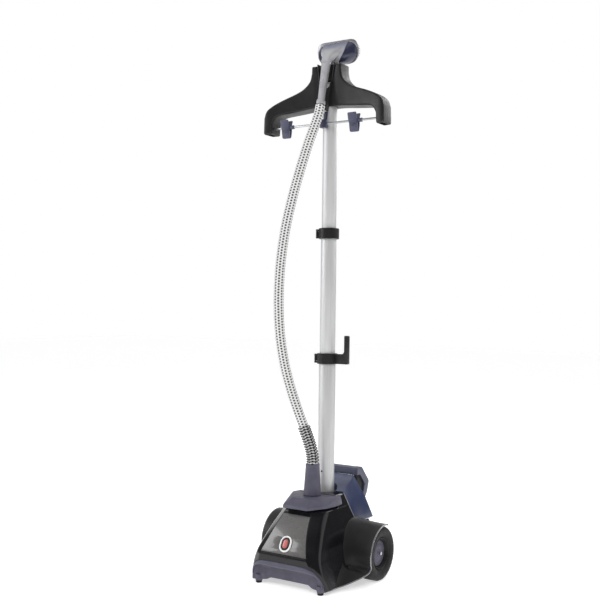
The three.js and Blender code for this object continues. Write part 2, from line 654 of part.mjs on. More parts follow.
// The cradle: a tapered channel, open to the front, that the handle lies in.
function cradleBody(grow) {
  const low = hull(both([
    [9 + grow, -42.5 - grow, 1402 - grow], [9 + grow, -26 + grow, 1402 - grow],
    [24 + grow, -30 - grow, 1492 + grow], [24 + grow, -24.6 + grow, 1492 + grow],
    [22 + grow, -38 - grow, 1480], [22 + grow, -24.6 + grow, 1480],
  ]));
  const high = hull(both([
    [24 + grow, -32 - grow, 1492 - grow], [24 + grow, -4 + grow, 1492 - grow],
    [31 + grow, -30 - grow, 1545 + grow], [31 + grow, 2 + grow, 1545 + grow],
  ]));
  return join(low, high);
}

function addCradle() {
  const channel = hull(both([
    [5, -70, 1398], [5, -37, 1398], [20, -60, 1484], [20, -27.5, 1484], [29, -60, 1556], [29, -8, 1556],
  ]));
  add('head_cradle', cut(cradleBody(0), channel), 'satinBlack');
}

function addRod() {
  add('clip_rod', aboutRod(ROD_R, -ROD_HALF, ROD_HALF), 'steel');
  const holder = cut(
    join(block([-11, 11], [ROD_Y - 8, ROD_Y + 8], [ROD_Z - 13, ROD_Z + 13]),
      hull(both([[7, ROD_Y + 7, ROD_Z - 5], [7, ROD_Y + 7, ROD_Z + 11], [7, -24, ROD_Z + 40],
        [7, -27.5, ROD_Z + 30]]))),
    aboutRod(ROD_R + 0.3, -40, 40),
    solid(cylinder(UPPER_R + GAP, 1300, 1600)),
    cradleBody(GAP),
  );
  add('rod_holder', holder, 'navy');
}

// A trouser clip: the rear jaw carries a sleeve on the rod, the front jaw turns about the rod.
function addClip(side) {
  const name = side < 0 ? 'left' : 'right';
  const x = CLIP_X[side < 0 ? 0 : 1];
  const bore = aboutRod(ROD_R + 0.3, x - 40, x + 40);
  // Waisted outline of a jaw in X and Z.
  const outline = [[-15, 23], [15, 23], [13, 4], [16, -8], [16, -33], [-12, -33], [-12, -8], [-15, 4]]
    .map(([dx, dz]) => [x + dx, ROD_Z + dz]);
  const slab = solid(runAlongY(outline, ROD_Y - 40, ROD_Y + 40));
  // Bent profile of a jaw in Y and Z: forward is -1 for the front jaw, +1 for the rear jaw.
  const profile = [[0.4, -33], [3.4, -33], [7.4, -16], [9, 0], [14.5, 23], [11.5, 23], [5, 0], [4.4, -16]];
  const jaw = (way) => {
    const bent = profile.map(([dy, dz]) => [ROD_Y + way * dy, ROD_Z + dz]);
    return slab.intersect(solid(runAlongX(bent, x - 20, x + 20)));
  };
  const rearSlot = join(aboutRod(6.6, x - 7.4, x - 2.6), aboutRod(6.6, x + 1.1, x + 5.4));
  const rearSleeves = join(aboutRod(6, x + 6, x + 28), aboutRod(6, x - 13, x - 8));
  add(`clip_rear_${name}`, cut(join(jaw(1), rearSleeves), bore, rearSlot), 'lightBlueGrey');
  const frontSlot = join(aboutRod(6.6, x + 5.6, x + 30), aboutRod(6.6, x - 13.4, x - 7.6));
  const frontSleeves = join(aboutRod(6, x - 7, x - 3), aboutRod(6, x + 1.5, x + 5));
  add(`clip_front_${name}`, cut(join(cut(jaw(-1), frontSlot), frontSleeves), bore), 'lightBlueGrey');
  const spring = cut(aboutRod(4.9, x - 2.6, x + 1.1), aboutRod(ROD_R + 0.5, x - 10, x + 10));
  add(`clip_spring_${name}`, spring, 'steel');
}

// ---------------------------------------------------------------- steam head
function addSteamHead() {
  const handle = new THREE.Group();
  handle.position.set(...HANDLE_LOW);
  handle.rotation.x = HANDLE_TILT;
  fromPole.add(handle);
  // Local frame: Z runs up the handle, -Y faces forward.
  const grip = hull(both([
    [6, -9, 0], [9, 0, 0], [6, 8, 0], [8, -12, 40], [11, 0, 40], [8, 10, 40],
    [11, -13, 116], [15, -2, 116], [11, 10, 116],
  ]));
  const cuff = solid(cylinder(12.5, -16, 1));
  const bore = solid(cylinder(5, -20, 30, COARSE_FACETS));
  add('head_handle', cut(join(grip, cuff), bore), 'inlay', handle);

  const head = new THREE.Group();
  head.position.set(...HEAD_CENTRE);
  head.rotation.x = HEAD_TILT;
  fromPole.add(head);
  // Local frame: Y points out of the steam plate, Z is up along it.
  const outline = (w, h, y, drop = 0) => both([
    [w, y, 6], [w - 6, y, h - 10], [w - 22, y, h], [w - 6, y, -h + 16 - drop], [w - 26, y, -h - drop],
  ]);
  const shell = hull([...outline(70, 34, 14), ...outline(71, 35, 4), ...outline(58, 30, -14),
    ...outline(42, 24, -26)]);
  const handleZone = hull(both([[13, -60, -60], [13, -16, -60], [17, -60, -22], [17, -14, -22]]));
  const vent = solid(alongY(cylinder(5, -16, 20, COARSE_FACETS)));
  add('head_shell', cut(shell, handleZone, vent), 'navy', head);
  const plate = hull([...outline(69, 33, 14.4), ...outline(68, 32, 20)]);
  const holes = [];
  for (let i = -3; i <= 3; i += 1) {
    for (const z of [-12, 12]) holes.push(solid(at(alongY(cylinder(2.4, 10, 30, 6)), i * 15, 0, z)));
  }
  add('steam_plate', cut(plate, ...holes), 'silver', head);
  const frameOuter = hull([...outline(66, 30, 20.4), ...outline(65, 29, 24)]);
  const frameInner = hull([...outline(56, 20, 18), ...outline(56, 20, 28)]);
  const tufts = [];
  for (let i = -4; i <= 4; i += 1) {
    for (const z of [-25, 25]) {
      tufts.push(solid(at(alongY(cylinder(1.8, 23, 33, 5)), i * (z > 0 ? 10 : 7), 0, z)));
    }
  }
  add('brush', join(cut(frameOuter, frameInner), ...tufts), 'satinBlack', head);
}

// ---------------------------------------------------------------- hose
function addHose() {
  const socket = ring([[26.5, BASE_TOP + GAP], [27, BASE_TOP + 4], [23, 300], [20.5, SOCKET_TOP],
    [9, SOCKET_TOP], [9, 224], [14, 224], [14, BASE_TOP + GAP]]);
  add('hose_socket', at(socket, 0, SOCKET_Y, 0), 'blueGrey');
  const route = smooth(HOSE_ROUTE);
  add('hose_spring', sweep(new Stretch(route, 0, SPRING_LENGTH), SPRING_R, 12, 5), 'braid');
  const rest = new Stretch(route, SPRING_LENGTH + GAP, route.getLength());
  add('steam_hose', sweep(rest, HOSE_R, 10, 26), 'braid');
}

addBase();
addSkirt();
addTrim(-1);
addTrim(1);
addButton();
addInside();
addWheel(-1);
addWheel(1);
addTank();
addPole();
addCollar('lower', LOWER_COLLAR_Z, LOWER_R, MIDDLE_R);
addCollar('upper', UPPER_COLLAR_Z, MIDDLE_R, UPPER_R);
addHook();
addHanger();
addCradle();
addRod();
addClip(-1);
addClip(1);
addSteamHead();
addHose();

export default steamer;
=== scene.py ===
"""The looks of an upright garment steamer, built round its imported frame.

Shapes are given in millimetres from the point on the floor under the pole's axis, front towards -Y, as
the parts are laid out, and each is turned into metres in the frame's own axes when its mesh is made.
"""
import json
import math

import bmesh
import bpy
import numpy as np
from mathutils import Matrix, Vector


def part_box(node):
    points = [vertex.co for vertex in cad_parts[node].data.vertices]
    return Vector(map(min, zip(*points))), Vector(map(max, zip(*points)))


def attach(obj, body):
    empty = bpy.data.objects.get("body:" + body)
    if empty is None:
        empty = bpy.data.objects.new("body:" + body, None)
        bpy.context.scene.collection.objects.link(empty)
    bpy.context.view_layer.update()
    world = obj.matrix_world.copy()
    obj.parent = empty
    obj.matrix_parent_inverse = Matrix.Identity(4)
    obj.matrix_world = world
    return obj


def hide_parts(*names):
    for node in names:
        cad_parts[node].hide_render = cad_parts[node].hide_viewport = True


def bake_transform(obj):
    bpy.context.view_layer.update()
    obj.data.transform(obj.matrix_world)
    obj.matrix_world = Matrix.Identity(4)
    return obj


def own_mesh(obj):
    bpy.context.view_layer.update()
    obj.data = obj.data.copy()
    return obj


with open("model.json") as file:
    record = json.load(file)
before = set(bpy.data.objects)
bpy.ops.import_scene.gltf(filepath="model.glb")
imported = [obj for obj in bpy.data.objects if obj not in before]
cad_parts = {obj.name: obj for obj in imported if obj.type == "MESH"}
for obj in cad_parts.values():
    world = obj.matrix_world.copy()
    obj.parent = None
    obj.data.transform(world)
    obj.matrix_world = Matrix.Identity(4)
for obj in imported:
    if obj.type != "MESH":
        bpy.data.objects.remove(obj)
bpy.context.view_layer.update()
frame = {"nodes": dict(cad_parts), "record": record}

MM = 0.001
pole_low, pole_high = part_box("pole_lower")
POLE = Vector(((pole_low.x + pole_high.x) / 2, (pole_low.y + pole_high.y) / 2, 0))


def metres(point):
    """A point in millimetres from the pole's foot as a point in the frame."""
    return Vector(point) * MM + POLE


# ---------------------------------------------------------------- driving dimensions, in millimetres
WALL = 3
SIDE_AT_TOP = 65
TOP_Z = 250
SIDE_SLOPE = 0.28
REAR_Y = 122
DECK_Z = 157
TANK_FRONT_Y = 34
TANK_LEAN = 0.387
AXLE = (25, 80)
FENDER_R = 87.5
FENDER_X = 190
SHELL_TOP = 212
ROD_Y, ROD_Z = -37, 1361
CLIP_X = {"left": -136, "right": 104}
SIDES = (("left", -1), ("right", 1))
HOSE_R = 15
SPRING_R = 19.5
SOCKET_Y = -77
SOCKET_TOP = 342

# height, corner y, half-width of the front flat, front y
SECTIONS = [
    (14, -200, 94, -217),
    (72, -216, 86, -230),
    (104, -209, 78, -228),
    (131, -190, 68, -215),
    (170, -158, 56, -190),
    (212, -114, 45, -153),
]


# ---------------------------------------------------------------- camera
def add_camera():
    """A level camera in front and to the right, at the height of a person's waist."""
    azimuth = math.radians(33)
    distance, sideways, height = 2.835, 0.0855, 0.82
    roll = math.radians(0.72)
    right = Vector((math.cos(azimuth), math.sin(azimuth), 0))
    forward = Vector((-math.sin(azimuth), math.cos(azimuth), 0))
    data = bpy.data.cameras.new("camera")
    data.sensor_width = 36
    data.lens = 55.8
    data.shift_y = 0.005
    data.clip_end = 60
    camera = bpy.data.objects.new("camera", data)
    bpy.context.scene.collection.objects.link(camera)
    up = Vector((0, 0, 1)) * math.cos(roll) - right * math.sin(roll)
    across = forward.cross(up)
    turn = Matrix((across, up, -forward)).transposed()
    place = POLE - forward * distance - right * sideways + Vector((0, 0, height))
    camera.matrix_world = Matrix.Translation(place) @ turn.to_4x4()
    bpy.context.scene.camera = camera


# ---------------------------------------------------------------- materials
class Finish:
    """A procedural material: one Principled shader and the nodes that vary it."""

    def __init__(self, name, roughness, metallic=0.0, **sockets):
        self.material = bpy.data.materials.new(name)
        self.material.use_nodes = True
        self.tree = self.material.node_tree
        self.shader = self.tree.nodes["Principled BSDF"]
        self.shader.inputs["Roughness"].default_value = roughness
        self.shader.inputs["Metallic"].default_value = metallic
        for socket, value in sockets.items():
            self.shader.inputs[socket.replace("_", " ")].default_value = value
        self.place = self.node("ShaderNodeTexCoord").outputs["Object"]
        self.normal = None

    def node(self, kind, settings=None, **links):
        made = self.tree.nodes.new(kind)
        for key, value in (settings or {}).items():
            setattr(made, key, value)
        for socket, value in links.items():
            target = made.inputs[socket.replace("_", " ")]
            if isinstance(value, bpy.types.NodeSocket):
                self.tree.links.new(value, target)
            else:
                target.default_value = value
        return made

    def stretched(self, scale):
        """Object coordinates with each axis scaled, for grain that runs one way."""
        mapping = self.node("ShaderNodeMapping", Vector=self.place)
        mapping.inputs["Scale"].default_value = scale
        return mapping.outputs["Vector"]

    def noise(self, scale, detail=3.0, vector=None):
        made = self.node("ShaderNodeTexNoise", Vector=vector or self.place, Scale=scale, Detail=detail)
        return made.outputs["Fac"]

    def between(self, factor, low, high, start=0.3, full=0.7):
        """Runs from low to high while the factor runs from start to full."""
        made = self.node("ShaderNodeMapRange", Value=factor)
        for socket, value in (("From Min", start), ("From Max", full), ("To Min", low), ("To Max", high)):
            made.inputs[socket].default_value = value
        return made.outputs["Result"]

    def height(self, low, high):
        """From 0 to 1 between two heights in metres."""
        split = self.node("ShaderNodeSeparateXYZ", Vector=self.place)
        return self.between(split.outputs["Z"], 0, 1, low, high)

    def ramp(self, factor, *stops):
        made = self.node("ShaderNodeValToRGB", Fac=factor)
        elements = made.color_ramp.elements
        while len(elements) < len(stops):
            elements.new(0.5)
        for element, (at, color) in zip(elements, stops):
            element.position = at
            element.color = (*color, 1)
        return made.outputs["Color"]

    def mix(self, factor, a, b):
        """Two colours, or colour sockets, mixed by a factor socket."""
        made = self.node("ShaderNodeMix", {"data_type": "RGBA"})
        for socket, value in ((made.inputs[0], factor), (made.inputs[6], a), (made.inputs[7], b)):
            if isinstance(value, bpy.types.NodeSocket):
                self.tree.links.new(value, socket)
            else:
                socket.default_value = (*value, 1)
        return made.outputs[2]

    def use(self, socket, output):
        self.tree.links.new(output, self.shader.inputs[socket])

    def drift(self, color, amount=0.12, scale=40):
        """A colour that turns a little lighter and darker over the piece."""
        dark = [c * (1 - amount) for c in color]
        light = [c * (1 + amount) for c in color]
        return self.mix(self.between(self.noise(scale), 0, 1), dark, light)

    def rough(self, low, high, scale=60, vector=None):
        self.use("Roughness", self.between(self.noise(scale, 4.0, vector), low, high))

    def bump(self, height, strength, distance):
        made = self.node("ShaderNodeBump", Height=height, Strength=strength, Distance=distance)
        if self.normal is not None:
            self.tree.links.new(self.normal, made.inputs["Normal"])
        self.normal = made.outputs["Normal"]
        self.use("Normal", self.normal)

    def edges(self, color, worn, amount=0.5):
        """A base colour with slightly worn, lighter edges."""
        point = self.node("ShaderNodeNewGeometry").outputs["Pointiness"]
        edge = self.between(point, 0, amount, 0.51, 0.6)
        self.use("Base Color", self.mix(edge, self.drift(color, 0.12, 35), worn))


def plain(roughness, color, grain, rough=None, worn=None, wear=0.5, drift=(0.12, 40), metallic=0.0,
          **sockets):
    """A maker of one moulded or cast material: colour drift, worn edges, uneven gloss and a fine grain.

    rough is the gloss's (low, high, scale), and grain the bump's (scale, detail, strength, distance).
    """
    def make(name):
        made = Finish(name, roughness, metallic, **sockets)
        if worn:
            made.edges(color, worn, wear)
        else:
            made.use("Base Color", made.drift(color, *drift))
        if rough:
            made.rough(*rough)
        scale, detail, strength, distance = grain
        made.bump(made.noise(scale, detail), strength, distance)
        return made.material
    return make


def smoke_panel(name):
    """Smoked glossy plastic with a brushed grain across it."""
    made = Finish(name, 0.25, metallic=0.2, Coat_Weight=0.6, Coat_Roughness=0.05)
    grain = made.noise(60, 6, made.stretched((1, 1, 40)))
    made.use("Base Color", made.mix(made.between(grain, 0, 1), (0.085, 0.082, 0.08), (0.125, 0.121, 0.118)))
    made.rough(0.2, 0.34, 30)
    made.bump(grain, 0.08, 0.0004)
    return made.material


def drawn(roughness, metallic, dark, light, rough, lines):
    """A maker of drawn metal: fine lines along the axis that its grain is stretched on.

    rough is the gloss's (low, high), and lines the grain's (scale, detail, stretch).
    """
    def make(name):
        made = Finish(name, roughness, metallic)
        scale, detail, stretch = lines
        grain = made.noise(scale, detail, made.stretched(stretch))
        made.use("Base Color", made.mix(made.between(grain, 0, 1), dark, light))
        made.use("Roughness", made.between(grain, *rough))
        made.bump(grain, 0.08, 0.0003)
        return made.material
    return make


def tank_blue(name):
    """Dark translucent blue, lighter towards its top where the light comes through."""
    made = Finish(name, 0.14, Coat_Weight=0.3, Coat_Roughness=0.05, Transmission_Weight=0.12)
    shade = made.ramp(made.height(0.16, 0.29), (0.0, (0.026, 0.042, 0.105)), (0.5, (0.04, 0.054, 0.12)),
                      (1.0, (0.1, 0.117, 0.195)))
    drift = made.between(made.noise(25, 3), 0, 1)
    made.use("Base Color", made.mix(drift, shade, (0.045, 0.055, 0.12)))
    made.rough(0.1, 0.22, 25)
    made.bump(made.noise(400, 2), 0.06, 0.0006)
    return made.material


def inlay(name):
    """Pale metallic grey that turns blue towards the top of the head."""
    made = Finish(name, 0.34, metallic=0.25, Coat_Weight=0.2)
    drift = made.mix(made.between(made.noise(35), 0, 1), (0.36, 0.36, 0.38), (0.43, 0.43, 0.45))
    made.use("Base Color", made.mix(made.height(1.588, 1.612), drift, (0.17, 0.18, 0.27)))
    made.rough(0.28, 0.42, 50)
    made.bump(made.noise(1900, 2), 0.08, 0.0004)
    return made.material


def braid(name):
    """White woven sleeve with dark marks, laid out by the tube's own coordinates.

    U counts the columns of marks round the hose and V the marks along it.
    """
    made = Finish(name, 0.8, Specular_IOR_Level=0.25, Sheen_Weight=0.3)
    split = made.node("ShaderNodeSeparateXYZ", Vector=made.node("ShaderNodeUVMap").outputs["UV"])
    u, v = split.outputs["X"], split.outputs["Y"]

    def calculate(operation, a, b=0.0):
        node = made.node("ShaderNodeMath", {"operation": operation})
        for socket, value in zip(node.inputs, (a, b)):
            if isinstance(value, bpy.types.NodeSocket):
                made.tree.links.new(value, socket)
            else:
                socket.default_value = value
        return node.outputs[0]

    def from_centre(value, shift=0.0):
        return calculate("SUBTRACT", calculate("FRACT", calculate("ADD", value, shift)), 0.5)

    def reach(value, share):
        return calculate("POWER", calculate("ABSOLUTE", calculate("MULTIPLY", value, share)), 2.4)

    def strand(operation):
        slant = calculate(operation, calculate("MULTIPLY", u, 3.0), v)
        return calculate("SINE", calculate("MULTIPLY", slant, 4 * math.pi))

    # every other column of marks is moved on by half a mark
    stagger = calculate("FRACT", calculate("MULTIPLY", calculate("FLOOR", u), 0.5))
    spread = calculate("ADD", reach(from_centre(u), 3.3), reach(from_centre(v, stagger), 3.4))
    mark = made.node("ShaderNodeMapRange", {"interpolation_type": "SMOOTHSTEP"}, Value=spread)
    mark.inputs["From Min"].default_value = 0.75
    mark.inputs["From Max"].default_value = 1.25
    mark.inputs["To Min"].default_value = 1.0
    mark.inputs["To Max"].default_value = 0.0
    weave = calculate("MULTIPLY", strand("ADD"), strand("SUBTRACT"))
    light = made.between(calculate("ADD", weave, 0.5), 0, 1)
    white = made.mix(light, (0.62, 0.62, 0.61), (0.82, 0.82, 0.81))
    made.use("Base Color", made.mix(mark.outputs["Result"], white, (0.012, 0.012, 0.013)))
    made.bump(weave, 0.35, 0.0006)
    return made.material


MAKERS = {
    "gloss_black": plain(0.12, (0.006, 0.006, 0.0075), (900, 2, 0.05, 0.0004), (0.09, 0.16, 18),
                         (0.02, 0.02, 0.023), Specular_IOR_Level=0.42),
    "satin_black": plain(0.4, (0.0115, 0.011, 0.012), (2600, 2, 0.05, 0.0003), (0.34, 0.46, 45),
                         (0.03, 0.03, 0.033), Specular_IOR_Level=0.32),
    "soft_black": plain(0.7, (0.01, 0.01, 0.011), (1500, 3, 0.25, 0.0008), (0.6, 0.8, 60)),
    "blue_grey": plain(0.42, (0.082, 0.079, 0.112), (2400, 2, 0.14, 0.0005), (0.4, 0.54, 40),
                       (0.14, 0.14, 0.18), Specular_IOR_Level=0.35),
    "light_blue_grey": plain(0.4, (0.05, 0.054, 0.094), (2200, 2, 0.12, 0.0005), (0.33, 0.48, 40),
                             (0.12, 0.12, 0.17)),
    "silver_trim": plain(0.3, (0.3, 0.3, 0.32), (1800, 2, 0.06, 0.0004), (0.22, 0.36, 50),
                         drift=(0.08, 40), metallic=0.75),
    "cast_metal": plain(0.55, (0.35, 0.36, 0.37), (700, 5, 0.4, 0.001), drift=(0.15, 90), metallic=0.8),
    "white_plastic": plain(0.22, (0.84, 0.84, 0.84), (1800, 2, 0.05, 0.0003), (0.18, 0.28, 60),
                           drift=(0.03, 40), Coat_Weight=0.4),
    "lamp_red": plain(0.25, (0.5, 0.12, 0.11), (900, 2, 0.1, 0.0004), drift=(0.14, 300),
                      Coat_Weight=0.5, Subsurface_Weight=0.2, Subsurface_Scale=0.002),
    "rubber": plain(0.58, (0.012, 0.012, 0.0125), (1700, 3, 0.12, 0.0004), (0.52, 0.72, 70),
                    (0.035, 0.035, 0.037), 0.4, Specular_IOR_Level=0.3),
    "silicone": plain(0.5, (0.66, 0.66, 0.62), (500, 2, 0.1, 0.0006), drift=(0.06, 40),
                      Subsurface_Weight=0.15, Subsurface_Scale=0.002),
    "navy": plain(0.28, (0.02, 0.022, 0.05), (1600, 2, 0.07, 0.0004), (0.22, 0.36, 35),
                  (0.07, 0.075, 0.12), Coat_Weight=0.25, Coat_Roughness=0.1),
    "smoke_panel": smoke_panel,
    "aluminium": drawn(0.5, 0.45, (0.56, 0.56, 0.565), (0.66, 0.66, 0.665), (0.42, 0.55),
                       (420, 5, (1, 1, 0.02))),
    "steel": drawn(0.3, 0.95, (0.4, 0.41, 0.42), (0.56, 0.57, 0.58), (0.22, 0.4),
                   (500, 4, (0.05, 1, 1))),
    "tank_blue": tank_blue,
    "inlay": inlay,
    "braid": braid,
}
made_materials = {}


def material(slot):
    if slot not in made_materials:
        made_materials[slot] = MAKERS[slot](slot)
    return made_materials[slot]


# ---------------------------------------------------------------- meshes
def with_bmesh(mesh, *steps):
    """Changes a mesh by bmesh steps, each called with the mesh at work."""
    work = bmesh.new()
    work.from_mesh(mesh)
    for step in steps:
        step(work)
    work.to_mesh(mesh)
    work.free()


def merge_points(dist):
    return lambda work: bmesh.ops.remove_doubles(work, verts=work.verts, dist=dist)


def face_outwards(work):
    bmesh.ops.recalc_face_normals(work, faces=work.faces)


def dissolve_flat(degrees):
    angle = math.radians(degrees)
    return lambda work: bmesh.ops.dissolve_limit(work, angle_limit=angle, verts=work.verts,
                                                 edges=work.edges)


def linked(name, mesh):
    made = bpy.data.objects.new(name, mesh)
    bpy.context.scene.collection.objects.link(made)
    return made


def mesh_object(name, verts, faces):
    """An object from points in millimetres, with its faces turned outwards."""
    mesh = bpy.data.meshes.new(name)
    mesh.from_pydata([metres(v) for v in verts], [], faces)
    with_bmesh(mesh, merge_points(1e-6), face_outwards)
    return linked(name, mesh)


def apply_modifiers(made):
    bpy.context.view_layer.update()
    graph = bpy.context.evaluated_depsgraph_get()
    mesh = bpy.data.meshes.new_from_object(made.evaluated_get(graph))
    made.modifiers.clear()
    made.data = mesh


def boolean(made, operation, *others):
    """Joins, cuts or keeps the common part of made and each of the others, which are used up."""
    for other in others:
        modifier = made.modifiers.new("boolean", "BOOLEAN")
        modifier.operation = operation
        modifier.solver = "EXACT"
        modifier.object = other
        apply_modifiers(made)
        bpy.data.objects.remove(other)
    return made


def bevelled(made, width, segments=3, angle=25):
    """Rounds the edges sharper than angle."""
    with_bmesh(made.data, merge_points(2e-6), dissolve_flat(0.6))
    modifier = made.modifiers.new("bevel", "BEVEL")
    modifier.width = width * MM
    modifier.segments = segments
    modifier.limit_method = "ANGLE"
    modifier.angle_limit = math.radians(angle)
    modifier.miter_outer = "MITER_ARC"
    apply_modifiers(made)
    return made


def finished(made, body, slot, *replaced, smooth=32):
    """Shades a piece, gives it its material and joins it to its body."""
    mesh = made.data
    mesh.polygons.foreach_set("use_smooth", [True] * len(mesh.polygons))
    mesh.set_sharp_from_angle(angle=math.radians(smooth))
    mesh.name = made.name
    mesh.materials.clear()
    mesh.materials.append(material(slot))
    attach(made, body)
    if replaced:
        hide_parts(*replaced)
    return made


def loft(rings, closed=False):
    """Points and faces of a skin over closed rings of equally many points, with flat ends unless closed."""
    count = len(rings[0])
    verts = [p for ring in rings for p in ring]
    faces = []
    spans = len(rings) if closed else len(rings) - 1
    for i in range(spans):
        a, b = i * count, ((i + 1) % len(rings)) * count
        for j in range(count):
            k = (j + 1) % count
            faces.append((a + j, a + k, b + k, b + j))
    if not closed:
        faces.append(tuple(range(count)))
        faces.append(tuple(reversed(range((len(rings) - 1) * count, len(rings) * count))))
    return verts, faces


def lofted(name, rings, closed=False):
    return mesh_object(name, *loft(rings, closed))


def hull(name, points):
    """The convex body round some points, with its flat faces whole."""
    work = bmesh.new()
    for p in points:
        work.verts.new(p)
    found = bmesh.ops.convex_hull(work, input=work.verts)
    bmesh.ops.delete(work, geom=found["geom_interior"], context="VERTS")
    dissolve_flat(1)(work)
    work.verts.index_update()
    verts = [tuple(v.co) for v in work.verts]
    faces = [tuple(v.index for v in f.verts) for f in work.faces]
    work.free()
    return mesh_object(name, verts, faces)


def both(points):
    return [(sign * x, y, z) for x, y, z in points for sign in (-1, 1)]


def block(name, x, y, z):
    return hull(name, [(a, b, c) for a in x for b in y for c in z])


def bend(start, corner, end, steps):
    """Points on a smooth turn from start to end that leans to the corner between them."""
    return [tuple((1 - t) ** 2 * start + 2 * t * (1 - t) * corner + t * t * end)
            for t in np.linspace(0, 1, steps + 1)]


def rounded(points, radii, steps=4):
    """A closed outline with each corner eased by its own radius."""
    out = []
    count = len(points)
    for i, (corner, radius) in enumerate(zip(points, radii)):
        c = np.array(corner, float)
        before, after = np.array(points[i - 1], float), np.array(points[(i + 1) % count], float)
        a = c + (before - c) * min(0.48, radius / max(np.linalg.norm(before - c), 1e-6))
        b = c + (after - c) * min(0.48, radius / max(np.linalg.norm(after - c), 1e-6))
        out += bend(a, c, b, steps)
    return out


def pad(half, low, high, radii, steps):
    """An outline as wide on both sides, from low to high along its other axis, with eased corners."""
    return rounded([(half, low), (half, high), (-half, high), (-half, low)], radii, steps)


def smooth_curve(points, count):
    """Evenly spaced points on a smooth line through some points."""
    p = np.array(points, float)
    ends = np.vstack([2 * p[0] - p[1], p, 2 * p[-1] - p[-2]])
    dense = []
    per = 24
    for i in range(1, len(ends) - 2):
        a, b, c, d = ends[i - 1:i + 3]
        for k in range(per):
            t = k / per
            dense.append(0.5 * (2 * b + (c - a) * t + (2 * a - 5 * b + 4 * c - d) * t ** 2
                                + (3 * b - a - 3 * c + d) * t ** 3))
    dense.append(p[-1])
    dense = np.array(dense)
    run = np.concatenate([[0], np.cumsum(np.linalg.norm(np.diff(dense, axis=0), axis=1))])
    wanted = np.linspace(0, run[-1], count)
    return np.stack([np.interp(wanted, run, dense[:, k]) for k in range(dense.shape[1])], axis=1)


def frames_along(line, up=(0, 0, 1)):
    """At each point of a line: two directions across it that don't twist."""
    tangents = np.gradient(line, axis=0)
    tangents /= np.linalg.norm(tangents, axis=1)[:, None]
    side = np.cross(np.array(up, float), tangents[0])
    if np.linalg.norm(side) < 1e-3:
        side = np.array([1.0, 0, 0])
    sides = []
    for tangent in tangents:
        side = side - tangent * side.dot(tangent)
        side = side / np.linalg.norm(side)
        sides.append(side)
    sides = np.array(sides)
    return sides, np.cross(tangents, sides)


def swept(name, line, section, up=(0, 0, 1)):
    """A section of (across, up) points carried along a line."""
    line = np.array(line, float)
    sides, ups = frames_along(line, up)
    rings = [[tuple(p + s * a + u * b) for a, b in section] for p, s, u in zip(line, sides, ups)]
    return lofted(name, rings)


def oval(across, high, count=12):
    return [(across * math.cos(2 * math.pi * k / count), high * math.sin(2 * math.pi * k / count))
            for k in range(count)]


def circle(radius, count=64):
    return oval(radius, radius, count)


def lathe(name, profile, centre, axis="z", count=72):
    """A body turned from (radius, height) points, either closed on itself or from the axis to the axis."""
    rings = []
    for k in range(count):
        turn = 2 * math.pi * k / count
        c, s = math.cos(turn), math.sin(turn)
        ring = []
        for r, h in profile:
            local = {"z": (r * c, r * s, h), "x": (h, r * c, r * s), "-x": (-h, r * c, r * s),
                     "y": (r * s, h, r * c)}[axis]
            ring.append(tuple(Vector(local) + Vector(centre)))
        rings.append(ring)
    return lofted(name, rings, closed=True)


def eased(profile, radius, steps):
    """An open lathe profile with its inner corners rounded."""
    out = [profile[0]]
    for before, corner, after in zip(profile, profile[1:], profile[2:]):
        a, c, b = (np.array(p, float) for p in (before, corner, after))
        reach_a = min(radius, 0.45 * np.linalg.norm(a - c)) / max(np.linalg.norm(a - c), 1e-6)
        reach_b = min(radius, 0.45 * np.linalg.norm(b - c)) / max(np.linalg.norm(b - c), 1e-6)
        out += bend(c + (a - c) * reach_a, c, c + (b - c) * reach_b, steps)
    out.append(profile[-1])
    return out


def prism(name, outline, low, high, axis):
    """A flat outline given depth along one axis. The outline's axes are the other two, in order."""
    def point(a, b, c):
        return {"x": (c, a, b), "y": (a, c, b), "z": (a, b, c)}[axis]
    return lofted(name, [[point(a, b, c) for a, b in outline] for c in (low, high)])


def mirrored(points, side):
    return [(side * x, y, z) for x, y, z in points]


# ---------------------------------------------------------------- base
def side_x(z):
    return SIDE_AT_TOP + SIDE_SLOPE * (TOP_Z - z)


def tank_front(z):
    return TANK_FRONT_Y - (max(z, DECK_Z) - DECK_Z) * TANK_LEAN


def section_at(z):
    """(corner y, half-width of the front flat, front y) at a height, smoothly between the sections."""
    table = np.array(SECTIONS, float)
    heights = table[:, 0]
    z = min(max(z, heights[0]), heights[-1])
    i = int(np.clip(np.searchsorted(heights, z) - 1, 0, len(heights) - 2))
    slopes = np.gradient(table, heights, axis=0)
    span = heights[i + 1] - heights[i]
    t = (z - heights[i]) / span
    a, b = table[i], table[i + 1]
    h00, h10 = 2 * t ** 3 - 3 * t ** 2 + 1, t ** 3 - 2 * t ** 2 + t
    h01, h11 = -2 * t ** 3 + 3 * t ** 2, t ** 3 - t ** 2
    value = h00 * a + h10 * span * slopes[i] + h01 * b + h11 * span * slopes[i + 1]
    return value[1], value[2], value[3]


def front_y(x, z):
    """Where the front of the shell lies at a place across and a height."""
    corner, flat, front = section_at(z)
    edge = side_x(z)
    share = min(max((abs(x) - flat) / (edge - flat), 0), 1)
    return front + (corner - front) * share


def shell_ring(z, inset=0.0, back=None):
    corner, flat, front = section_at(z)
    edge = side_x(z) - inset
    rear = (tank_front(z) if back is None else back) - inset
    points = [(flat - inset * 0.5, front + inset), (edge, corner + inset), (edge, rear), (-edge, rear),
              (-edge, corner + inset), (-flat + inset * 0.5, front + inset)]
    outline = rounded(points, [2.5, 15, 2, 2, 15, 2.5], 5)
    return [(x, y, z) for x, y in outline]


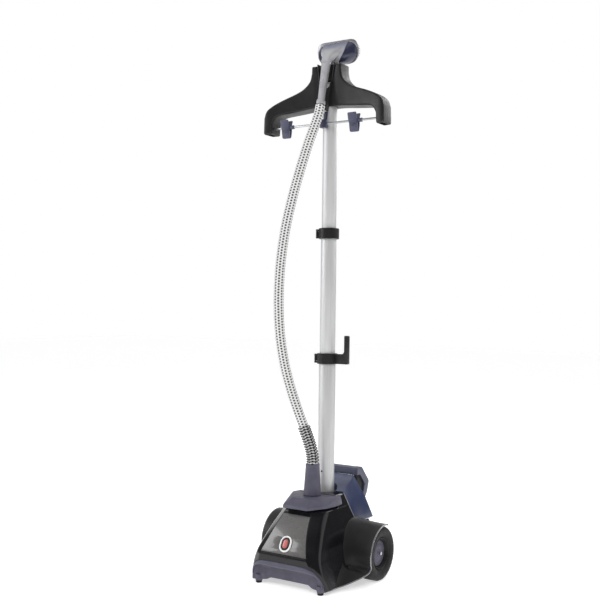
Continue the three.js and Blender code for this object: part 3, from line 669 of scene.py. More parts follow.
def front_shell(name, inset=0.0, low=14, high=217):
    rings = [shell_ring(z, inset) for z in np.linspace(low, SHELL_TOP, 27)]
    for k in range(1, 5):
        turn = math.pi / 2 * k / 4
        shrink = 9 * (1 - math.cos(turn)) + (6 if k == 4 else 0)
        rise = SHELL_TOP + (high - SHELL_TOP) * math.sin(turn)
        rings.append([(x, y, rise) for x, y, _ in shell_ring(SHELL_TOP, inset + shrink)])
    return lofted(name, rings)


def rear_shell(name, inset=0.0, low=14):
    rings = []
    top = DECK_Z - inset
    for k in range(7):
        turn = math.pi / 2 * k / 6
        z = top - 5 + 5 * math.sin(turn)
        shrink = 5 * (1 - math.cos(turn))
        rings.append(rear_ring(z, inset + shrink))
    return lofted(name, [rear_ring(low, inset), rear_ring((low + top) / 2, inset)] + rings)


def rear_ring(z, inset):
    outline = pad(side_x(z) - inset, -30, REAR_Y - inset, [1, 20, 20, 1], 5)
    return [(x, y, z) for x, y in outline]


def shoulder(name):
    """The upper block of the shell, behind the cap and in front of the tank."""
    rings = []
    for z in (190, 215, 240, 245.5, 248, 249.4, 250):
        inset = 0.3 + max(0, z - 244.5) ** 2 * 0.12
        edge, rear = side_x(z) - inset, tank_front(z) - inset * 0.6
        rings.append([(x, y, z) for x, y in pad(edge, -48, rear, [2, 3, 3, 2], 3)])
    return lofted(name, rings)


def rim_stations():
    """Down the right fender's rim and on along the lower edge: (outer point, inner point, control)."""
    stations = []
    for k in range(25):
        angle = math.radians(74 + (196 - 74) * k / 24)
        c, s = math.cos(angle), math.sin(angle)
        z = AXLE[1] + FENDER_R * s
        inner_x = side_x(min(max(z, 30), 156)) - 4
        grow = 9 + 14 * max(0, math.degrees(angle) - 150) / 46

        def at(x, r):
            return (x, AXLE[0] + r * c, AXLE[1] + r * s)
        inner, control = at(inner_x, FENDER_R + grow), at(inner_x + 20, FENDER_R + 0.5)
        stations.append((at(FENDER_X, FENDER_R), inner, control))
    low = [
        ((187, -67, 44), (112, -88, 74), (130, -76, 58)),
        ((177, -82, 35), (113, -98, 69), (128, -89, 51)),
        ((162, -101, 26), (114, -112, 64), (127, -106, 43)),
        ((146, -124, 18), (115, -128, 59), (124, -126, 36)),
        ((135, -146, 14), (116, -146, 55), (121, -146, 32)),
        ((128, -170, 12), (117, -168, 51), (119.5, -169, 29)),
        ((122, -198, 11), (112, -196, 46), (118, -197, 27)),
    ]
    return stations + low


def fender(side):
    """A fender and the flare that runs on from it: a thick skin from the side wall out to the rim."""
    rings = []
    thick = 4.2
    dense = [smooth_curve(column, 64) for column in zip(*rim_stations())]
    for outer, inner, control in zip(*dense):
        ring = bend(inner, control, outer, 9)
        inward = np.array([0, AXLE[0] - outer[1], AXLE[1] - outer[2]])
        inward = inward / max(np.linalg.norm(inward), 1e-6)
        if outer[1] < -60:
            blend = min((-60 - outer[1]) / 40, 1)
            inward = inward * (1 - blend) + np.array([-0.5, 0.2, -0.4]) * blend
        ring.append(tuple(outer + inward * thick))
        ring.append(tuple(control + inward * thick))
        ring.append(tuple(inner + np.array([-7, 0, 0]) + inward * thick))
        rings.append(mirrored(ring, side))
    return lofted("fender", rings)


def arch_height(x):
    """Height of the front arch's crown at a place across."""
    points = [(0, 80), (50, 79.5), (80, 77), (100, 68), (112, 54), (119, 38), (126, 10)]
    dense = smooth_curve(points, 80)
    return float(np.interp(abs(x), dense[:, 0], dense[:, 1]))


def arch_cutter():
    xs = np.linspace(-125, 125, 61)
    outline = [(x, arch_height(x) + 0.5) for x in xs] + [(128, -15), (-128, -15)]
    return prism("arch_cutter", outline, -270, -160, "y")


def add_base():
    outer = front_shell("body_shell_skin")
    boolean(outer, "UNION", rear_shell("rear"), shoulder("shoulder"))
    well = boolean(front_shell("well", WALL, 6), "UNION", rear_shell("well_rear", WALL, 6))
    boolean(well, "INTERSECT", block("below", (-150, 150), (-260, 160), (-10, 17)))
    boolean(outer, "DIFFERENCE", arch_cutter(), well, button_hole())
    finished(outer, "root", "gloss_black", "body_shell", smooth=30)
    for name, side in SIDES:
        made = fender(side)
        made.name = f"fender_{name}"
        finished(made, "root", "satin_black", smooth=45)

    rings = []
    for z in np.linspace(104.5, 204.5, 21):
        _, flat, front = section_at(z)
        half = flat - 1.5
        corners = [(half, front - 0.9), (half + 0.4, front + 2), (-half - 0.4, front + 2),
                   (-half, front - 0.9)]
        rings.append([(x, y, z) for x, y in rounded(corners, [0.8, 0.4, 0.4, 0.8], 2)])
    panel = boolean(lofted("control_panel_face", rings), "DIFFERENCE", button_hole())
    bevelled(panel, 0.5, 2, 50)
    finished(panel, "root", "smoke_panel", "control_panel")

    groove = [(x, front_y(x, 101) - 0.2, 101) for x in np.linspace(-76, 76, 60)]
    finished(swept("panel_seam", groove, circle(0.7, 8)), "root", "soft_black")
    # The thin silver strips swept here carry on from the panel's lower corners. They are a painted
    # reflection: the light line on the shell at that place is a reflection.
    for name, side in SIDES:
        line = [(72, -227.4, 103.6), (79, -221.5, 100.5), (88, -216.5, 97), (95, -213.5, 96)]
        hook = swept(f"panel_reflection_line_{name}", mirrored(smooth_curve(line, 24), side), circle(0.8, 8))
        finished(hook, "root", "silver_trim")


def add_cap():
    foot = [(42, -171), (72.5, -106), (78, -60), (76, -30)]
    edge = [(30, -136), (60, -96), (78, -62), (70, -30)]
    points = [(x, y, z) for x, y in foot for z in (222, 231)] + [(x, y, 249) for x, y in edge]
    body = hull("cap_body", both(points))
    collar = prism("collar", circle(33, 48), 219, 248.8, "z")
    bevelled(body, 2.0, 4, 12)
    bevelled(collar, 2.0, 3, 40)
    boolean(body, "UNION", collar)
    boolean(body, "DIFFERENCE", prism("dish", pad(44, -40, 10, [16] * 4, 6), 247.4, 256, "z"))
    body.name = "top_cap_cover"
    finished(body, "root", "blue_grey", "top_cap", smooth=28)
    neck = hull("cap_neck", both([(x * 0.86, y * 0.86, z) for x, y in foot for z in (206, 224)]))
    finished(bevelled(neck, 2, 3), "root", "soft_black")
    plate = prism("cap_plate", pad(43, -39, 9, [15] * 4, 6), 246.4, 248.2, "z")
    finished(bevelled(plate, 0.5, 2, 40), "root", "silver_trim")


def add_socket():
    outer = [(9, 248), (26, 249), (27.2, 250.5), (27.2, 253), (26.2, 256), (25.4, 262), (24, 285),
             (22, 315), (20.6, 336), (20.9, 338), (20.9, 341), (19.8, SOCKET_TOP), (14, SOCKET_TOP),
             (9, 340)]
    made = lathe("hose_socket_cone", rounded(outer, [1.2] * len(outer), 2), (0, SOCKET_Y, 0), count=72)
    finished(made, "root", "blue_grey", "hose_socket", smooth=50)


def skirt_profile(x):
    """The closed section of the front skirt at a place across, as (y, z) points."""
    top = arch_height(x) - 0.4
    outer = front_y(x, max(top, 16))
    share = min(abs(x) / 122, 1)
    ridge = top - 14 * (1 - share ** 3) - 3 * share ** 3
    lip = outer - 2.2 * (1 - share ** 6)
    recess = min(outer + 34 * (1 - share ** 5), -186)
    if abs(x) < 76:
        sole = 20 - 6 * max(0, (abs(x) - 66) / 10)
    else:
        sole = 14 - 4 * min(1, (abs(x) - 76) / 30)
    sole = min(sole, ridge - 4)
    return [
        (outer + 6, top - 0.2), (outer + 0.3, top), (lip, top - 2.5), (lip - 0.4, ridge + 3),
        (lip + 1.5, ridge), (lip + 6 * (1 - share ** 4), ridge - 3),
        (recess - 4 * (1 - share), ridge - 10 * (1 - share)), (recess, sole + 3),
        (recess + 1.5, sole), (recess + 14, sole), (outer + 20, top - 6),
    ]


def add_skirt():
    rings = []
    for turn in np.linspace(-math.pi / 2, math.pi / 2, 69):
        x = 122 * math.sin(turn)
        outline = rounded(skirt_profile(x), [1.5] * 11, 2)
        rings.append([(x, y, z) for y, z in outline])
    made = lofted("front_skirt_arch", rings)
    finished(made, "root", "blue_grey", "front_skirt", smooth=40)
    for name, side in SIDES:
        boss = [(0, 7), (9.6, 7), (10.8, 8), (12.5, 26), (0, 26)]
        stub = lathe(f"foot_boss_{name}", eased(boss, 1.5, 3), (side * 106, -196, 0), count=40)
        finished(stub, "root", "blue_grey", smooth=50)
        profile = [(0, 0), (7.5, 0), (9, 1.2), (9, 6), (8, 9), (0, 13.5)]
        foot = lathe(f"foot_{name}_pad", eased(profile, 0.8, 2), (side * 106, -196, 0), count=40)
        finished(foot, "root", "rubber", f"foot_{name}", smooth=50)


def add_trims():
    rows = rim_stations()
    for name, side in SIDES:
        line = smooth_curve([row[0] for row in rows[2:]], 120)
        line[:, 0] += 1.6
        inward = np.stack([np.zeros(len(line)), AXLE[0] - line[:, 1], AXLE[1] - line[:, 2]], axis=1)
        inward /= np.linalg.norm(inward, axis=1)[:, None]
        near = np.clip((line[:, 1] + 90) / 40, 0, 1)[:, None]
        line += inward * 1.5 * near
        made = swept(f"side_trim_{name}_strip", mirrored(line, side), circle(2.1, 12))
        finished(made, "root", "silver_trim", f"side_trim_{name}", smooth=60)


PANEL_TILT = math.radians(60.5)


def on_panel(point):
    """From the button's own axes, Z out of the panel, to the shell's."""
    x, y, z = point
    c, s = math.cos(PANEL_TILT), math.sin(PANEL_TILT)
    return (x, -215.3 + y * c - z * s, 131 + y * s + z * c)


def stadium(width, straight, count=16):
    """An upright outline with round ends and straight sides."""
    out = []
    for start, rise in ((0, straight / 2), (math.pi, -straight / 2)):
        for k in range(count + 1):
            a = start + math.pi * k / count
            out.append((width / 2 * math.cos(a), rise + width / 2 * math.sin(a)))
    return out


def stadium_loft(name, rows, closed=False):
    """A piece of the button, from (width, height above the panel) rows."""
    rings = [[on_panel((x, y, z)) for x, y in stadium(w, 10)] for w, z in rows]
    return lofted(name, rings, closed)


def button_hole():
    return stadium_loft("button_hole", [(27.2, -14), (27.2, 8)])


def add_button():
    bezel = stadium_loft("button_ring", [(38, 0.4), (38, 2), (37, 3.4), (34.6, 4), (30, 4), (28, 3),
                                         (27.4, 1.5), (27.4, 0.4)], closed=True)
    finished(bezel, "root", "white_plastic", "button_bezel", smooth=60)
    cap = stadium_loft("button_cap", [(26, -9), (26, 2.4), (25.2, 3.6), (23.4, 4.4), (18.5, 4.4), (17.6, 4),
                                      (17.2, 2.4), (14, 2.2)])
    finished(cap, "power_button", "satin_black", "power_button", smooth=60)
    lens = stadium_loft("button_lens", [(16.6, 2.3), (16.6, 3.6), (15.6, 4.6), (12, 5.2), (6, 5.5),
                                        (2, 5.5)])
    finished(lens, "power_button", "lamp_red", "power_lamp", smooth=60)


# ---------------------------------------------------------------- wheels
def add_wheels():
    for name, side, axis in (("left", -1, "-x"), ("right", 1, "x")):
        centre = (0, AXLE[0], AXLE[1])
        body = f"wheel_{name}"
        tread = []
        for k in range(25):
            h = 140 + 36 * k / 24
            groove = 0.7 if k in (5, 6, 12, 13, 19, 20) else 0
            tread.append((80 - groove - 0.0009 * (h - 158) ** 2, h))
        tyre = [(49, 134), (60, 133.2), (72, 133.6), (77, 135.6)] + tread + [
            (76.6, 182), (72, 185), (66, 186), (58, 185), (52, 182.4), (48.6, 179.6), (48.2, 176)]
        made = lathe(f"tyre_{name}_body", tyre, centre, axis, 128)
        finished(made, body, "rubber", f"tyre_{name}", smooth=60)
        hub = [(5.6, 128), (13, 128), (14, 129), (14, 145), (17, 148), (41, 150), (42, 148), (42, 138),
               (47.4, 137.4), (47.8, 139), (47.8, 178), (46.6, 180.4), (44.8, 180.4), (43.4, 178),
               (40.4, 167.4), (38.5, 166.2), (5.6, 166)]
        made = lathe(f"hub_{name}_dish", hub, centre, axis, 96)
        finished(made, body, "soft_black", f"hub_{name}", smooth=40)
        cap = [(0, 166.6), (37.4, 166.6), (38, 167.6), (37.6, 169.4), (36, 170.4), (30.4, 171.2),
               (29.6, 170.6), (28.8, 171.3), (12, 172.4), (11.2, 173.4), (9, 174.6), (0, 175.2)]
        made = lathe(f"hub_cap_{name}_disc", cap, centre, axis, 96)
        finished(made, body, "blue_grey", f"hub_cap_{name}", smooth=40)


# ---------------------------------------------------------------- tank
def add_tank():
    rows = [(TANK_FRONT_Y + 0.6, DECK_Z + 1), (-1, 253), (77, 292), (118, 222), (137, DECK_Z + 1)]
    body = hull("water_tank_body", both([(side_x(z) - (0 if z < 200 else 1), y, z) for y, z in rows]))
    boolean(body, "DIFFERENCE", prism("notch", circle(35), 100, 340, "z"))
    bevelled(body, 3.2, 4, 22)
    finished(body, "tank", "tank_blue", "water_tank", smooth=30)
    edge = [(-2.6, 251), (15, 205), (33.2, 160), (36, 156.9), (60, 157.4), (100, 158), (134, 158.6)]
    for name, side in SIDES:
        line = [(side * (side_x(z) - 0.2), y, z) for y, z in edge]
        made = swept(f"tank_line_{name}", smooth_curve(line, 60), circle(1.0, 8))
        finished(made, "tank", "silver_trim")

    arm = [(84, 290), (84, 307), (88, 311.5), (107, 314), (113, 312), (155, 268), (158, 261), (148, 231),
           (131, 209), (127, 209), (120.6, 222), (121, 226), (127, 240), (132, 258), (102, 291)]
    arms = [prism("arm", arm, *sorted((side * 45, side * 62.5)), "x") for side in (-1, 1)]
    grip = [(84.4, 290.5), (84.4, 307), (88, 311), (107, 313.5), (112.5, 311.5), (116, 305), (102, 291.5)]
    foot = [(125.4, 214.4), (142, 234), (137, 246.4), (130.4, 240), (120.8, 225)]
    bars = prism("bar", grip, -61, 61, "x"), prism("bar_foot", foot, -60.5, 60.5, "x")
    bail = boolean(arms[0], "UNION", arms[1], *bars)
    bevelled(bail, 2.6, 4, 25)
    bail.name = "tank_handle_bail"
    finished(bail, "tank", "light_blue_grey", "tank_handle", smooth=30)
    # These soft black plates sit inside the handle's arms and reach into its opening. They are painted
    # shade: they stand for the shadowed inner face of the far arm, seen through the handle.
    shadow_fill = [(85, 288), (87, 294), (103, 294), (135, 259), (130, 240), (123, 224), (119.6, 225.4),
             (111.8, 240), (101.5, 258)]
    for name, side in SIDES:
        made = prism(f"tank_handle_cheek_{name}", shadow_fill, *sorted((side * 49, side * 57)), "x")
        finished(bevelled(made, 1.2, 3), "tank", "soft_black")


# ---------------------------------------------------------------- pole
def add_pole():
    for name, body, radius, low, high in (
            ("pole_lower", "root", 25.3, 130, 660),
            ("pole_middle", "pole_middle", 23.7, 590, 1040),
            ("pole_upper", "pole_upper", 22.1, 935, 1490)):
        loop = [(radius - 1.2, low), (radius, low), (radius, high), (radius - 1.2, high)]
        made = lathe(f"{name}_tube", rounded(loop, [0.5] * 4, 2), (0, 0, 0), count=96)
        finished(made, body, "aluminium", name, smooth=40)
    pin = [(0, -9), (5.8, -9), (6, -10), (6, -19), (5.6, -20), (3, -20.4), (2.9, -24.4), (2.4, -26),
           (1.2, -26.6), (0, -26.7)]
    made = lathe("snap_pin_button", pin, (0, 0, 312), "y", 40)
    finished(made, "snap_pin", "satin_black", "snap_pin", smooth=40)


def add_collar(name, z, outer, inner, step, body):
    top = z + 32
    profile = [(outer + 0.4, z + 1), (outer + 1, z), (30.4, z), (31.4, z + 1)]
    ribs = 7
    for k in range(ribs):
        low = z + 3 + k * 3.9
        profile += [(31.4, low), (31.4, low + 2.1), (30.5, low + 2.5), (30.5, low + 3.5)]
    profile += [(31.4, top - 1.4), (30.4, top), (inner + 1, top), (inner + 0.4, top - 1),
                (inner + 0.4, step + 0.5), (outer + 0.4, step + 0.4)]
    made = lathe(f"collar_{name}_ring", profile, (0, 0, 0), count=96)
    lug = bevelled(block("lug", (-38.4, -28.6), (-15, -8), (z + 2, top - 2)), 1.6, 3, 40)
    slot = block("slot", (-42, -28), (-20, 0), (z + 8, top - 8))
    boolean(lug, "DIFFERENCE", slot)
    lug.name = f"collar_{name}_lug"
    finished(lug, body, "satin_black")
    finished(made, body, "satin_black", f"collar_{name}", smooth=40)

    rings = []
    for k in range(31):
        angle = math.radians(200 - 82 * k / 30)
        reach = 35.6 + 0.8 * math.sin(math.pi * k / 30) + (2.4 if k > 27 else 0)
        low, high = z + 8.5, top - 8.5
        section = rounded([(32.4, low), (reach, low), (reach, high), (32.4, high)], [1] * 4, 2)
        rings.append([(r * math.cos(angle), r * math.sin(angle), h) for r, h in section])
    lever = lofted("arm", rings)
    pin = [(0, z + 2.6), (1.9, z + 2.6), (1.9, z + 8.5), (3.4, z + 8.6), (3.4, top - 8.6),
           (1.9, top - 8.5), (1.9, top - 2.6), (0, top - 2.6)]
    boolean(lever, "UNION", lathe("pivot", eased(pin, 0.4, 2), (-35.5, -11.5, 0), count=32))
    lever.name = f"lever_{name}_arm"
    finished(lever, f"lever_{name}", "satin_black", f"lever_{name}", smooth=35)


def add_hook():
    z = 636
    outline = [(30, z + 1), (72, z + 1), (74, z + 3), (74, z + 85), (72, z + 87), (64, z + 87),
               (62, z + 85), (62, z + 43)]
    outline += bend(*np.array([(62, z + 43), (62, z + 31), (50, z + 31)], float), 8)[1:] + [(30, z + 31)]
    arm = prism("accessory_hook_arm", outline, -6.5, 6.5, "y")
    boolean(arm, "DIFFERENCE", prism("core", circle(31.9), 620, 700, "z"))
    bevelled(arm, 1.6, 3, 30)
    finished(arm, "root", "satin_black", "accessory_hook", smooth=30)


# ---------------------------------------------------------------- hanger
HANGER_ARM = [(51.5, 1520), (58, 1496), (78, 1476), (104, 1463), (150, 1446), (182, 1431), (202, 1415),
              (210, 1394)]
HANGER_UNDER = [(182, 1376), (172, 1392), (155, 1400), (100, 1407), (40, 1414), (0, 1415)]
HANGER_DEPTH = 56


def hanger_outline():
    """The whole outline, smooth along the arms and crisp at the horns and the tips."""
    right = [(0, 1500), (22, 1500), (24.4, 1503), (32, 1538), (35, 1541), (48.5, 1541), (51, 1538.5)]
    right += [tuple(p) for p in smooth_curve(HANGER_ARM, 34)]
    right += [(211, 1348), (208, 1344), (187, 1344), (184, 1347)]
    right += [tuple(p) for p in smooth_curve(HANGER_UNDER, 26)]
    left = [(-x, z) for x, z in reversed(right[1:-1])]
    return right + left


def inset_outline(outline, amount):
    """An outline moved inwards in small steps, so that its tight corners close instead of crossing."""
    p = np.array(outline, float)
    steps = max(1, int(math.ceil(amount / 0.35)))

    def unit(v):
        return v / np.maximum(np.linalg.norm(v, axis=1), 1e-6)[:, None]

    for _ in range(steps):
        along = unit(unit(np.roll(p, -1, axis=0) - p) + unit(p - np.roll(p, 1, axis=0))
                     + unit(np.roll(p, -2, axis=0) - np.roll(p, 2, axis=0)))
        p = p + np.stack([along[:, 1], -along[:, 0]], axis=1) * amount / steps
    return p


def bend_hanger(made):
    """Sweeps the flat arms forwards towards their tips and thins them a little there."""
    def slice_arms(work):
        for x in range(-208, 209, 8):
            geom = work.verts[:] + work.edges[:] + work.faces[:]
            bmesh.ops.bisect_plane(work, geom=geom, plane_co=(x * MM, 0, 0), plane_no=(1, 0, 0), dist=1e-6)
        bmesh.ops.triangulate(work, faces=[f for f in work.faces if len(f.verts) > 4])

    def sweep_forwards(work):
        for vert in work.verts:
            out = min(1, abs(vert.co.x) / MM / 200)
            thin = (HANGER_DEPTH - 2 * out) / HANGER_DEPTH
            vert.co.y = -28 * MM * out ** 1.6 + (vert.co.y - POLE.y) * thin + POLE.y

    with_bmesh(made.data, slice_arms, sweep_forwards)
    return made


def hanger_half(name, front):
    """One half shell of the hanger, flat, its outer edge rolled over, parted at mid-depth."""
    outline = hanger_outline()
    roll, thick = 6, HANGER_DEPTH / 2
    sign = -1 if front else 1
    rings = [[(x, sign * 0.35, z) for x, z in outline]]
    for k in range(7):
        turn = math.pi / 2 * k / 6
        flat = inset_outline(outline, roll * (1 - math.cos(turn))) if k else outline
        reach = thick - roll + roll * math.sin(turn)
        rings.append([(x, sign * reach, z) for x, z in flat])
    return lofted(name, rings)


def add_hanger():
    for name, front in (("hanger_front", True), ("hanger_rear", False)):
        shell = hanger_half(f"{name}_shell", front)
        pockets = [block("pocket", sorted((side * 188.5, side * 206.5)), (-23, 23), (1330, 1384))
                   for side in (-1, 1)]
        channel = hull("channel", both([(6, -75, 1398), (6, -36, 1398), (20, -75, 1484), (20, -26.5, 1484),
                                        (29.5, -75, 1560), (29.5, -7, 1560)]))
        tube = prism("tube", circle(22.9), 1380, 1489, "z")
        boolean(shell, "DIFFERENCE", tube, channel, *pockets)
        finished(bend_hanger(shell), "pole_upper", "satin_black", name, smooth=28)


def add_cradle():
    low = hull("low", both([(9, -42.5, 1402), (9, -26, 1402), (24, -30, 1492), (24, -24.6, 1492),
                            (22, -38, 1480), (22, -24.6, 1480)]))
    high = hull("high", both([(24, -32, 1490), (24, -4, 1490), (31, -30, 1545), (31, 2, 1545)]))
    channel = hull("channel", both([(5, -70, 1398), (5, -37, 1398), (20, -60, 1484), (20, -27.5, 1484),
                                    (29, -60, 1556), (29, -8, 1556)]))
    boolean(low, "UNION", high)
    boolean(low, "DIFFERENCE", channel)
    low.name = "head_cradle_channel"
    finished(bevelled(low, 0.6, 2, 40), "pole_upper", "satin_black", "head_cradle", smooth=30)


def add_rod():
    profile = [(0, -182), (3, -182), (3.4, -181.4), (3.4, 181.4), (3, 182), (0, 182)]
    made = lathe("clip_rod_bar", profile, (0, ROD_Y, ROD_Z), "x", 32)
    finished(made, "pole_upper", "steel", "clip_rod", smooth=40)
    body = block("rod_holder_block", (-11, 11), (ROD_Y - 8, ROD_Y + 8), (ROD_Z - 13, ROD_Z + 13))
    stalk = hull("stalk", both([(7, ROD_Y + 6, ROD_Z - 5), (7, ROD_Y + 6, ROD_Z + 11), (7, -24, ROD_Z + 40),
                                (7, -27.5, ROD_Z + 30)]))
    boolean(bevelled(body, 2.5, 4, 40), "UNION", bevelled(stalk, 1.0, 2, 30))
    boolean(body, "DIFFERENCE", prism("tube", circle(22.5, 48), 1300, 1500, "z"))
    finished(body, "pole_upper", "navy", "rod_holder", smooth=30)


def rod_sleeve(name, radius, x0, x1):
    profile = eased([(0, x0), (radius, x0), (radius, x1), (0, x1)], 0.6, 2)
    return lathe(name, profile, (0, ROD_Y, ROD_Z), "x", 32)


def add_clip(name):
    x = CLIP_X[name]
    outline = rounded([(-15, 23), (15, 23), (13, 4), (16, -8), (16, -33), (-12, -33), (-12, -8), (-15, 4)],
                      [4, 4, 6, 6, 4, 4, 6, 6], 4)
    for jaw, way, body in (("rear", 1, f"clip_{name}"), ("front", -1, f"clip_jaw_{name}")):
        slab = prism("slab", [(x + a, ROD_Z + b) for a, b in outline], ROD_Y - 40, ROD_Y + 40, "y")
        bent = [(0.4, -33), (3.6, -33), (7.6, -16), (9.2, 0), (14.5, 23), (12, 23), (5.4, 0), (4.2, -16)]
        profile = prism("profile", [(ROD_Y + way * a, ROD_Z + b) for a, b in bent], x - 20, x + 20, "x")
        boolean(slab, "INTERSECT", profile)
        bevelled(slab, 0.8, 3, 30)
        if way > 0:
            boolean(slab, "UNION", rod_sleeve("s1", 6, x + 6, x + 28), rod_sleeve("s2", 6, x - 13, x - 8))
        else:
            boolean(slab, "UNION", rod_sleeve("s1", 6, x - 7, x - 3), rod_sleeve("s2", 6, x + 1.5, x + 5))
            ribs = [bevelled(block("rib", (x - 9, x + 12), (ROD_Y - 9.6 - (k < 2) * 0.4, ROD_Y - 6),
                                   (ROD_Z - 7 - 4 * k, ROD_Z - 5 - 4 * k)), 0.4, 2, 40) for k in range(3)]
            boolean(slab, "UNION", *ribs)
        bore = [(ROD_Y + a, ROD_Z + b) for a, b in circle(3.7, 24)]
        boolean(slab, "DIFFERENCE", prism("bore", bore, x - 40, x + 40, "x"))
        slab.name = f"clip_{jaw}_{name}_plate"
        finished(slab, body, "light_blue_grey", f"clip_{jaw}_{name}", smooth=30)


# ---------------------------------------------------------------- steam head
def add_head():
    tilt = math.radians(-13.7)
    foot = Vector((0, -53, 1432))
    turn = Matrix.Rotation(tilt, 3, "X")

    def up_handle(x, y, z):
        return tuple(turn @ Vector((x, y, z)) + foot)

    # half-width, front y and back y at heights along the grip
    rows = [(-16, 11, -11, 11), (-14, 12.3, -12.3, 12.3), (-5, 12.3, -12.3, 12.3), (-3, 10.5, -10.5, 10.5),
            (0, 9.4, -10, 9), (14, 9.4, -11, 8.5), (40, 10.2, -12, 8.6), (70, 11.4, -12.8, 8.2),
            (96, 12.8, -13.2, 8), (118, 14.4, -13.4, 7.6)]
    rings = []
    for z, half, front, back in rows:
        rings.append([up_handle(x, y, z) for x, y in pad(half, front, back, [half * 0.75] * 4, 6)])
    grip = lofted("head_handle_grip", rings)
    finished(grip, "steam_head", "inlay", "head_handle", smooth=50)
    for k in range(11):
        z = 34 + 5.2 * k
        rib = [up_handle(x, -12.5 - 0.012 * (z - 30), z) for x in np.linspace(-5.5, 5.5, 7)]
        finished(swept(f"grip_rib_{k}", rib, oval(1.1, 1.1, 8)), "steam_head", "inlay")

    centre = Vector((0, 28.6, 1588))
    lean = Matrix.Rotation(math.radians(20), 3, "X")

    def on_head(x, y, z):
        return tuple(lean @ Vector((x, y, z)) + centre)

    def head_outline(w, top, bottom, count=6):
        middle, tall = (top + bottom) / 2, (top - bottom) / 2
        inner, low, ease = min(22, w * 0.45), min(27, w * 0.55), min(8, w * 0.2)
        right = [(w, middle + 0.1 * tall), (w - ease, top - 0.18 * tall), (w - inner, top)]
        under = [(w - low, bottom), (w - ease, bottom + 0.46 * tall)]
        points = right + [(-x, z) for x, z in reversed(under + right)] + under
        return rounded(points, [16, 12, 12, 12, 12, 16, 20, 20, 20, 20], count)

    def skin(name, levels, grow=0.0):
        rings = []
        for w, top, bottom, y in levels:
            outline = head_outline(w + grow, top + grow, bottom - grow)
            rings.append([on_head(x, y - grow, z) for x, z in outline])
        return lofted(name, rings)

    dome = [(24, -3, -23, -28), (34, 2, -26.5, -26.4), (43, 7, -29.5, -23), (52, 12, -32, -17.5),
            (60, 17, -34, -10), (66, 21.5, -35.2, -1), (69, 25.6, -35.8, 7), (70, 27.6, -36, 12.8)]
    shell = skin("head_shell_body", dome + [(69.4, 27, -35.4, 14)])
    finished(shell, "steam_head", "navy", "head_shell", smooth=50)
    rim = skin("head_rim", [(68, 26, -34, 13), (73.6, 34.8, -36.6, 13.2), (74.6, 36, -37.4, 14.2),
                            (74.6, 36, -37.4, 15.2), (73.8, 35.2, -36.8, 15.7), (74.6, 36, -37.4, 16.2),
                            (74.6, 36, -37.4, 17), (73.4, 35, -36.4, 18), (66, 28, -30, 18)])
    finished(rim, "steam_head", "silver_trim", smooth=40)
    right = [(12, -50), (14, -34), (21, -22), (33, -8), (41, 6), (43, 20), (42.5, 44)]
    outline = rounded(right + [(-x, z) for x, z in reversed(right)], [6] * 14, 3)
    patch = lofted("head_inlay", [[on_head(x, y, z) for x, z in outline] for y in (-46, 11.6)])
    boolean(patch, "INTERSECT", skin("over", dome, 1.5))
    bevelled(patch, 0.7, 2, 40)
    finished(patch, "steam_head", "inlay", smooth=40)
    # the neck: centre (y, z), lean from upright, half-width and half-depth
    neck = [(-31, 1545, 13.7, 14.1, 10.2), (-23, 1558, 26, 16, 12), (-11, 1571, 40, 21, 14),
            (3, 1583, 52, 29, 14.5), (16, 1592, 58, 35, 13)]
    rings = []
    for y, z, angle, half, deep in smooth_curve(neck, 14):
        c, n = math.cos(math.radians(angle)), math.sin(math.radians(angle))
        rings.append([(x, y + t * c, z - t * n) for x, t in pad(half, -deep, deep, [half * 0.6] * 4, 6)])
    finished(lofted("head_neck", rings), "steam_head", "inlay", smooth=50)
    plate = skin("steam_plate_face", [(68, 31.6, -33.4, 16.8), (69.6, 33.4, -34.6, 18),
                                      (69.6, 33.4, -34.6, 20.2), (68, 32, -33.4, 21)])
    holes = []
    for i in range(-3, 4):
        for z in (-12, 12):
            profile = [(0, 19), (2.4, 19), (2.4, 30), (0, 30)]
            hole = lathe("hole", profile, (0, 0, 0), "y", 20)
            hole.data.transform(Matrix.Translation(-POLE))
            hole.data.transform(Matrix.Translation(metres(on_head(i * 15, 0, z))) @ lean.to_4x4())
            holes.append(hole)
    boolean(plate, "DIFFERENCE", *holes)
    finished(plate, "steam_head", "silver_trim", "steam_plate", smooth=35)

    levels = [(67.5, 31.6, 20.6), (67.5, 31.8, 23.4), (66, 30.6, 24.8), (61, 25.6, 24.8), (58, 22, 23.8),
              (57.4, 21.4, 20.6)]
    rings = [[on_head(x, y, z - 0.8) for x, z in head_outline(w, h, -h)] for w, h, y in levels]
    bristles = lofted("brush_frame", rings, closed=True)
    verts, faces = [], []
    line = head_outline(64, 27.4, -29, 3)
    path = smooth_curve(line + [line[0]], 72)
    for k, (x, z) in enumerate(path[:-1]):
        for j in range(2):
            out = Vector((x, z * 1.6)).normalized()
            base_x, base_z = x + out.x * (2.2 * j - 1), z + out.y * (2.2 * j - 1)
            lean_x = out.x * 3.2 * j + 1.2 * math.sin(7.1 * k + j)
            lean_z = out.y * 3.2 * j + 1.2 * math.cos(5.3 * k + 2 * j)
            rings = []
            for y, r in ((23.5, 0.95), (30, 0.85), (35.5, 0.35)):
                share = (y - 23.5) / 12
                pin_x, pin_z = base_x + lean_x * share, base_z + lean_z * share
                rings.append([on_head(pin_x + a, y, pin_z + b) for a, b in circle(r, 5)])
            points, skins = loft(rings)
            faces += [tuple(len(verts) + i for i in face) for face in skins]
            verts += points
    pins = mesh_object("brush_bristles", verts, faces)
    finished(pins, "steam_head", "satin_black", smooth=60)
    finished(bristles, "steam_head", "satin_black", "brush", smooth=40)


